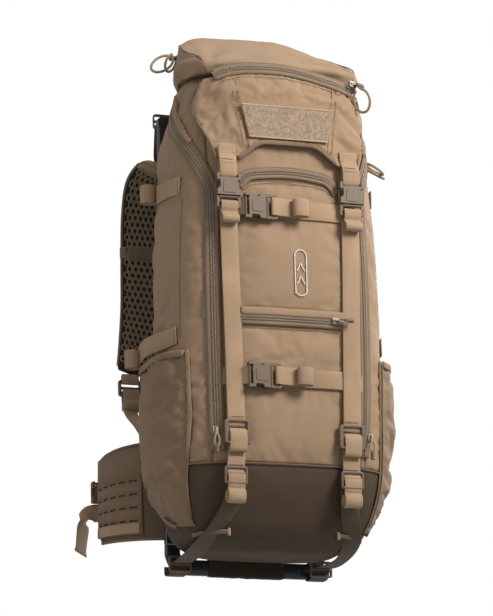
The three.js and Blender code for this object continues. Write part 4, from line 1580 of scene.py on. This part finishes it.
class PadShape:
    """The axes of a pad along its path: t along it, across from -1 to 1, and out of its face."""

    def __init__(self, points, width, thick, sign, upright=False):
        self.route = Route(points)
        self.width, self.thick, self.sign, self.upright = width, thick, sign, upright

    def at_share(self, t, across, out):
        """across is -1 to 1 over the pad's width there, and out is mm from its middle surface."""
        place, ahead = self.route.at(t)
        side = Z_AXIS if self.upright else X_AXIS
        side = (side - ahead * side.dot(ahead)).normalized()
        normal = ahead.cross(side).normalized()
        place = place + side * across * self.width(t) / 2 + normal * out
        return Vector((place.x * -self.sign, place.y, place.z))

    def core(self, work, rows, columns=28, grow=0.0, start=0.0, end=1.0, look=None):
        def point(u, v):
            t = lerp(start, end, v)
            rim = min(v, 1 - v) * self.route.length * (end - start)
            taper = (1 - (1 - clamp(rim / 7)) ** 2.2) ** 0.45 if rim < 7 else 1
            across, out = pad_ring(2 * math.pi * u, 2, self.thick)
            lump = 0.35 * noise.noise(Vector((across * 2, t * 14, self.sign)))
            return at(*self.at_share(t, across * (0.35 + 0.65 * taper) * (1 + 2 * grow / self.width(t)),
                                     (out + math.copysign(grow, out)) * taper + lump))

        size = (2 * self.width(0.4), self.route.length * (end - start))
        first, ring_size = work.grid(point, columns, rows, size, look, wrap=True)
        work.cap(first, ring_size, at(*self.at_share(start, 0, 0)), look, turn=True)
        work.cap(first + rows * ring_size, ring_size, at(*self.at_share(end, 0, 0)), look)

    def edge_tube(self, work, start, end, radius=2.0, across=0.985):
        for sign in (-1, 1):
            points = [self.at_share(lerp(start, end, i / 24), sign * across, 0) for i in range(25)]
            tube_mesh(work, points, radius, step=4)

    def net(self, work, face, start, end, pitch=10.5):
        """Spacer net: rings of yarn round open hexagonal holes, set on one face of the pad."""
        length = self.route.length * (end - start)
        rows = int(length / (pitch * 0.87))
        for row in range(rows):
            t = lerp(start, end, (row + 0.5) / rows)
            usable = self.width(t) * 0.86
            count = int(usable / (pitch * 0.72))
            for column in range(count):
                shift = 0.5 if row % 2 else 0.0
                cell = (column + 0.25 + shift) / count * 2 - 1
                self.cell(work, face, t, cell * 0.88, 0.88 / count, 0.66 * (end - start) / rows)

    def cell(self, work, face, t, across, wide, long):
        first = len(work.points)
        out = face * (self.thick / 2 + 0.2)
        for size, lift in ((1.02, 0.0), (0.9, 0.9), (0.62, 0.8), (0.52, -1.0)):
            for k in range(6):
                angle = math.radians(60 * k + 30)
                work.points.append(at(*self.at_share(t + math.sin(angle) * long * size,
                                                     across + math.cos(angle) * wide * 1.15 * size,
                                                     out + face * lift)))
        for band in range(3):
            for k in range(6):
                a, b = first + band * 6 + k, first + band * 6 + (k + 1) % 6
                work.face([a, b, b + 6, a + 6], [(0, 0), (MM, 0), (MM, MM), (0, MM)])


SHOULDER_PATH = ((-62, 24, 562), (-72, 36, 583), (-91, 60, 596), (-105, 84, 580), (-109, 98, 538),
                 (-110, 106, 470), (-113, 106, 400), (-121, 101, 340), (-129, 94, 300))


def make_shoulder_pad(side, sign, body):
    shape = PadShape(SHOULDER_PATH, lambda t: 66 * (1 - 0.25 * t * t), 13, sign)
    work = Patchwork()
    shape.core(work, 90)
    work.piece(f"{side}_shoulder_core", body, "dark_foam", f"{side}_shoulder_pad")
    work = Patchwork()
    for face in (1, -1):
        shape.net(work, face, 0.2, 0.965)
    work.piece(f"{side}_shoulder_net", body, "net")
    work = Patchwork()
    shape.edge_tube(work, 0.02, 0.975, 2.3)
    work.piece(f"{side}_shoulder_binding", body, "binding")
    work = Patchwork()
    shape.core(work, 24, grow=0.9, start=0.01, end=0.22)
    work.piece(f"{side}_shoulder_cap", body, "shell")

    # webbing sewn down the outside of the pad, with a bar tack every hand's width
    work = Patchwork()
    face = [shape.at_share(t, 0, -8.6) for t in (0.16, 0.25, 0.35, 0.45, 0.55, 0.65, 0.75, 0.85, 0.95)]
    strap_mesh(work, face, X_AXIS, 20, 1.5)
    for t in (0.24, 0.36, 0.48, 0.6, 0.72, 0.84):
        for small in (0, 0.008):
            line = [shape.at_share(t + small, a, -9.6) for a in (-0.24, 0, 0.24)]
            stitch_mesh(work, line, -Y_AXIS, pitch=2.6, long=1.9)
    work.piece(f"{side}_shoulder_webbing", body, "webbing")
    round_pad = []
    for k in range(29):
        across, out = pad_ring(2 * math.pi * k / 28, 2, 15.6)
        round_pad.append(shape.at_share(0.52, across * 1.06, out))
    strap(f"{side}_shoulder_band", round_pad, Z_AXIS, body, "binding", width=17, thick=1.2)


def make_adjuster(side, sign, body):
    """The ladder lock below the pad, and its webbing that runs on to the foot of the frame."""
    x = sign * 136
    ladder_piece(f"{side}_adjuster_lock", Stand(x, 95, 280), (34, 24, 6), body, f"{side}_adjuster_buckle")
    work = Patchwork()
    loop = at_x(x, (94, 299), (93, 290), (92, 286), (88, 287), (87.6, 294), (90, 300))
    strap_mesh(work, loop, X_AXIS, WEB - 1, 1.5, step=2)
    tail = at_x(x, (90, 279), (86.5, 275), (85, 266))
    tail += spiral(Vector((x, 86, 253)), Z_AXIS, -Y_AXIS, 1.6, 9, 2.4, math.radians(15))
    strap_mesh(work, tail, X_AXIS, WEB - 1, 1.5, step=1.8)
    work.piece(f"{side}_adjuster_tail", body, "webbing")

    work = Patchwork()
    run = mirrored(sign, (136, 96.5, 276), (138, 90, 258), (140, 72, 236), (136, 48, 214), (129, 31, 188),
                   (121, 22, 154), (113, 16.4, 120), (106, 16, 92))
    twist = [(1, 0, 0), (1, 0.1, 0), (0.95, 0.3, 0), (0.9, 0.4, 0), (0.95, 0.3, 0), (1, 0.1, 0), (1, 0, 0),
             (1, 0, 0)]
    strap_mesh(work, run, twist, 22, 1.6)
    piece = work.build(f"{side}_adjuster_webbing", "webbing")
    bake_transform(piece)


def make_lifter(side, sign, body):
    """The load lifter, from the top of the pad up to the buckle at the frame's top."""
    work = Patchwork()
    lift = mirrored(sign, (105, 25, 651), (104, 31, 640), (102, 39, 626), (98, 52, 613), (93, 62, 606.4))
    strap_mesh(work, lift, X_AXIS, 20, 1.6)
    piece = work.build(f"{side}_lifter_webbing", "dark_webbing")
    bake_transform(piece)
    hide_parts(f"{side}_load_lifter")
    ladder_piece(f"{side}_lifter_lock", Stand(sign * 105, 22, 653), (30, 22, 5), "root",
                 f"{side}_lifter_buckle")


def make_sternum():
    socket_piece("sternum_buckle_socket", Stand(-32, 112, 470, turned=True), "left_sternum", "sternum_socket")
    tongue_piece("sternum_buckle_tongue", Stand(45, 112, 470, turned=True), "right_sternum", "sternum_tongue")
    for (side, sign), inner in zip(SIDES.items(), (60, 56)):
        path = mirrored(sign, (inner, 104.5, 470), (inner + 5, 101.5, 470), (inner + 11, 97, 470),
                        (84, 95.4, 470), (98, 95.2, 470))
        strap(f"{side}_sternum_webbing", path, Z_AXIS, f"{side}_sternum", width=24, thick=1.5)


def make_shoulders():
    for side, sign in SIDES.items():
        for make_part in (make_shoulder_pad, make_adjuster, make_lifter):
            make_part(side, sign, f"{side}_shoulder")
    make_sternum()


WING_PATH = at_z(125, (-78, 24), (-105, 32), (-136, 50), (-156, 80), (-164, 115), (-163, 145))
OUT_OF_WING = -1        # the wing's outer face is on this side of its middle surface
COVER_STEPS = 32


def make_hip_belt():
    for side, sign in SIDES.items():
        body = f"{side}_hip"
        shape = PadShape(WING_PATH, lambda t: 138 * (1 - 0.14 * t * t), 12.4, sign, upright=True)
        work = Patchwork()
        shape.core(work, 60, columns=36)
        work.piece(f"{side}_wing_core", body, "foam", f"{side}_hip_wing")

        # an outer layer with rows of cut slots, standing just off the pad
        work = Patchwork()
        rows = ((-0.9, -0.64), (-0.6, -0.36), (-0.32, -0.08), (-0.04, 0.2), (0.24, 0.92))
        for low, high in rows:
            slotted_row(work, shape, low, high)
        for low, high in zip(rows, rows[1:]):
            bridge_row(work, shape, low[1], high[0])
        piece = work.build(f"{side}_wing_cover", "wing")
        add_thickness(piece, 1.0)
        settle(piece, body, "wing")
        work = Patchwork()
        shape.edge_tube(work, 0.03, 0.97, 2.4, 0.99)
        work.piece(f"{side}_wing_binding", body, "binding")
        belt = [shape.at_share(t, -0.77, OUT_OF_WING * 8.8) for t in (0.38, 0.5, 0.65, 0.8, 0.92)]
        strap(f"{side}_wing_webbing", belt, Z_AXIS, body, width=14, thick=1.4)

    socket_piece("hip_buckle_socket", Stand(-157, 158, 125), "left_hip", "hip_socket")
    tongue_piece("hip_buckle_tongue", Stand(157, 158, 125), "right_hip", "hip_tongue")
    tail = [(-158, 159.2, 112), (-168, 159.2, 112), (-178, 159, 108), (-185, 158.4, 94), (-188, 157.5, 78),
            (-191, 155, 58), (-192, 153, 52)]
    turns = [(0, 0, 1), (0, 0, 1), (0.35, 0.2, 1), (0.9, 0.5, 0.6), (0.9, 0.6, 0.2), (0.8, 0.6, 0.3),
             (0.8, 0.6, 0.3)]
    strap("belt_webbing_tail", tail, turns, "left_hip", nodes=["belt_tail"], thick=1.6, step=3)


def cover_point(shape, step, h):
    """A place on the wing's outer layer: steps run along the wing, and h is -1 to 1 over its width."""
    t = lerp(0.36, 0.93, min(1, step / COVER_STEPS))
    return at(*shape.at_share(t, h, OUT_OF_WING * (7.3 - 1.2 * abs(h) ** 3)))


def slotted_row(work, shape, low, high):
    """One band of the outer layer, from end to end."""
    start = len(work.points)
    for h in (low, high):
        for i in range(COVER_STEPS + 1):
            work.points.append(cover_point(shape, i, h))
    for i in range(COVER_STEPS):
        above = start + COVER_STEPS + 1 + i
        corners = [start + i, start + i + 1, above + 1, above]
        places = [(t * 4 * MM, h * 30 * MM) for t, h in ((i, low), (i + 1, low), (i + 1, high), (i, high))]
        work.face(corners, places)


def bridge_row(work, shape, low, high):
    """The cloth left between one row's slots and the next: a bridge, then an open slot."""
    for i in range(0, COVER_STEPS, 6):
        start = len(work.points)
        for h in (low, high):
            for k in range(3):
                work.points.append(cover_point(shape, i + k, h))
        for k in range(2):
            work.face([start + k, start + k + 1, start + k + 4, start + k + 3])


def make_back_pads():
    cushion_piece("yoke_cushion", 505, 124, 84, 14, 26, "yoke_pad", channels=(505,))
    cushion_piece("lumbar_cushion", 126, 140, 128, 14, 33, "lumbar_pad", channels=(105, 147))
    loop = at_z(640, (-46, 13.8), (-38, 20), (-20, 29.4), (20, 29.4), (38, 20), (46, 13.8))
    strap("haul_webbing", loop, Z_AXIS, "root", "dark_webbing", nodes=["haul_loop"], thick=2.8)


# ------------------------------------------------------------------ seams and trim on the bag
GATHER_PATH = (         # the first fold's depth and height, and how far back and up each next fold lies
    (-156, 574, 4, 7),
    (-144, 590, 5, 7),
    (-128, 609, 6, 7),
    (-112, 628, 6, 6),
    (-104, 644, 6, 5),
)


def make_gathers():
    """Slack cloth folded in layers between the top of each main zip and the lid's apron."""
    for side, sign in SIDES.items():
        work = Patchwork()
        for k in range(4):
            path = [side_at(sign, y + back * k, z + up * k, 0.6) for y, z, back, up in GATHER_PATH]
            tube_mesh(work, path, 4.4 - 0.3 * k, sides=12, step=3)
        work.piece(f"{side}_gathered_cloth", "root", "shell")


def make_trim():
    work = Patchwork()
    bag_ribbon(work, [front_at(x, 333, 3.6) for x in range(-75, 76, 25)], 10, 2.2)
    work.piece("middle_zip_flap", "root", "shell")

    work = Patchwork()
    for z, lift in ((310, 0.6), (340, 3.0)):
        stitch_mesh(work, [front_at(x, z, lift) for x in range(-72, 73, 18)], -Y_AXIS)
    for drop in (11, 15):
        stitch_mesh(work, [front_at(x, arch_z(x) - drop, 0.8) for x in range(-66, 67, 12)], -Y_AXIS)
    for sign in SIDES.values():
        stitch_mesh(work, [side_at(sign, -150, z, 0.3) for z in range(300, 501, 40)], shell_normal)
    work.piece("bag_stitching", "root", "thread")

    work = Patchwork()
    tube_mesh(work, [ring(math.radians(turn), BASE_SEAM, 0.9) for turn in range(-190, 11, 10)], 1.0, step=5)
    work.piece("base_seam_piping", "root", "binding")


def make_collar():
    """The gathered collar round the mouth of the main compartment."""
    def collar(u, v):
        angle = 2 * math.pi * u
        z = lerp(650, 673.4, v)
        place = ring(angle, min(z, BAG_TOP), -5.4 + math.sin(angle * 31) * 0.7)
        return at(place.x, place.y, z)

    work = Patchwork()
    work.grid(collar, 180, 8, (800, 24), wrap=True)
    piece = work.build("bag_collar", "lining")
    add_thickness(piece, 0.9)
    settle(piece, "root", "lining")


# ------------------------------------------------------------------ build everything
add_camera()
add_surroundings()
make_front()
make_sides()
make_back()
make_base()
make_pockets()
make_lid()
make_apron()
make_bag_zips()
make_lid_zips()
make_upper_rings()
make_front_straps()
make_compression()
make_side_straps()
make_mark()
make_frame()
make_back_pads()
make_shoulders()
make_hip_belt()
make_gathers()
make_trim()
make_collar()
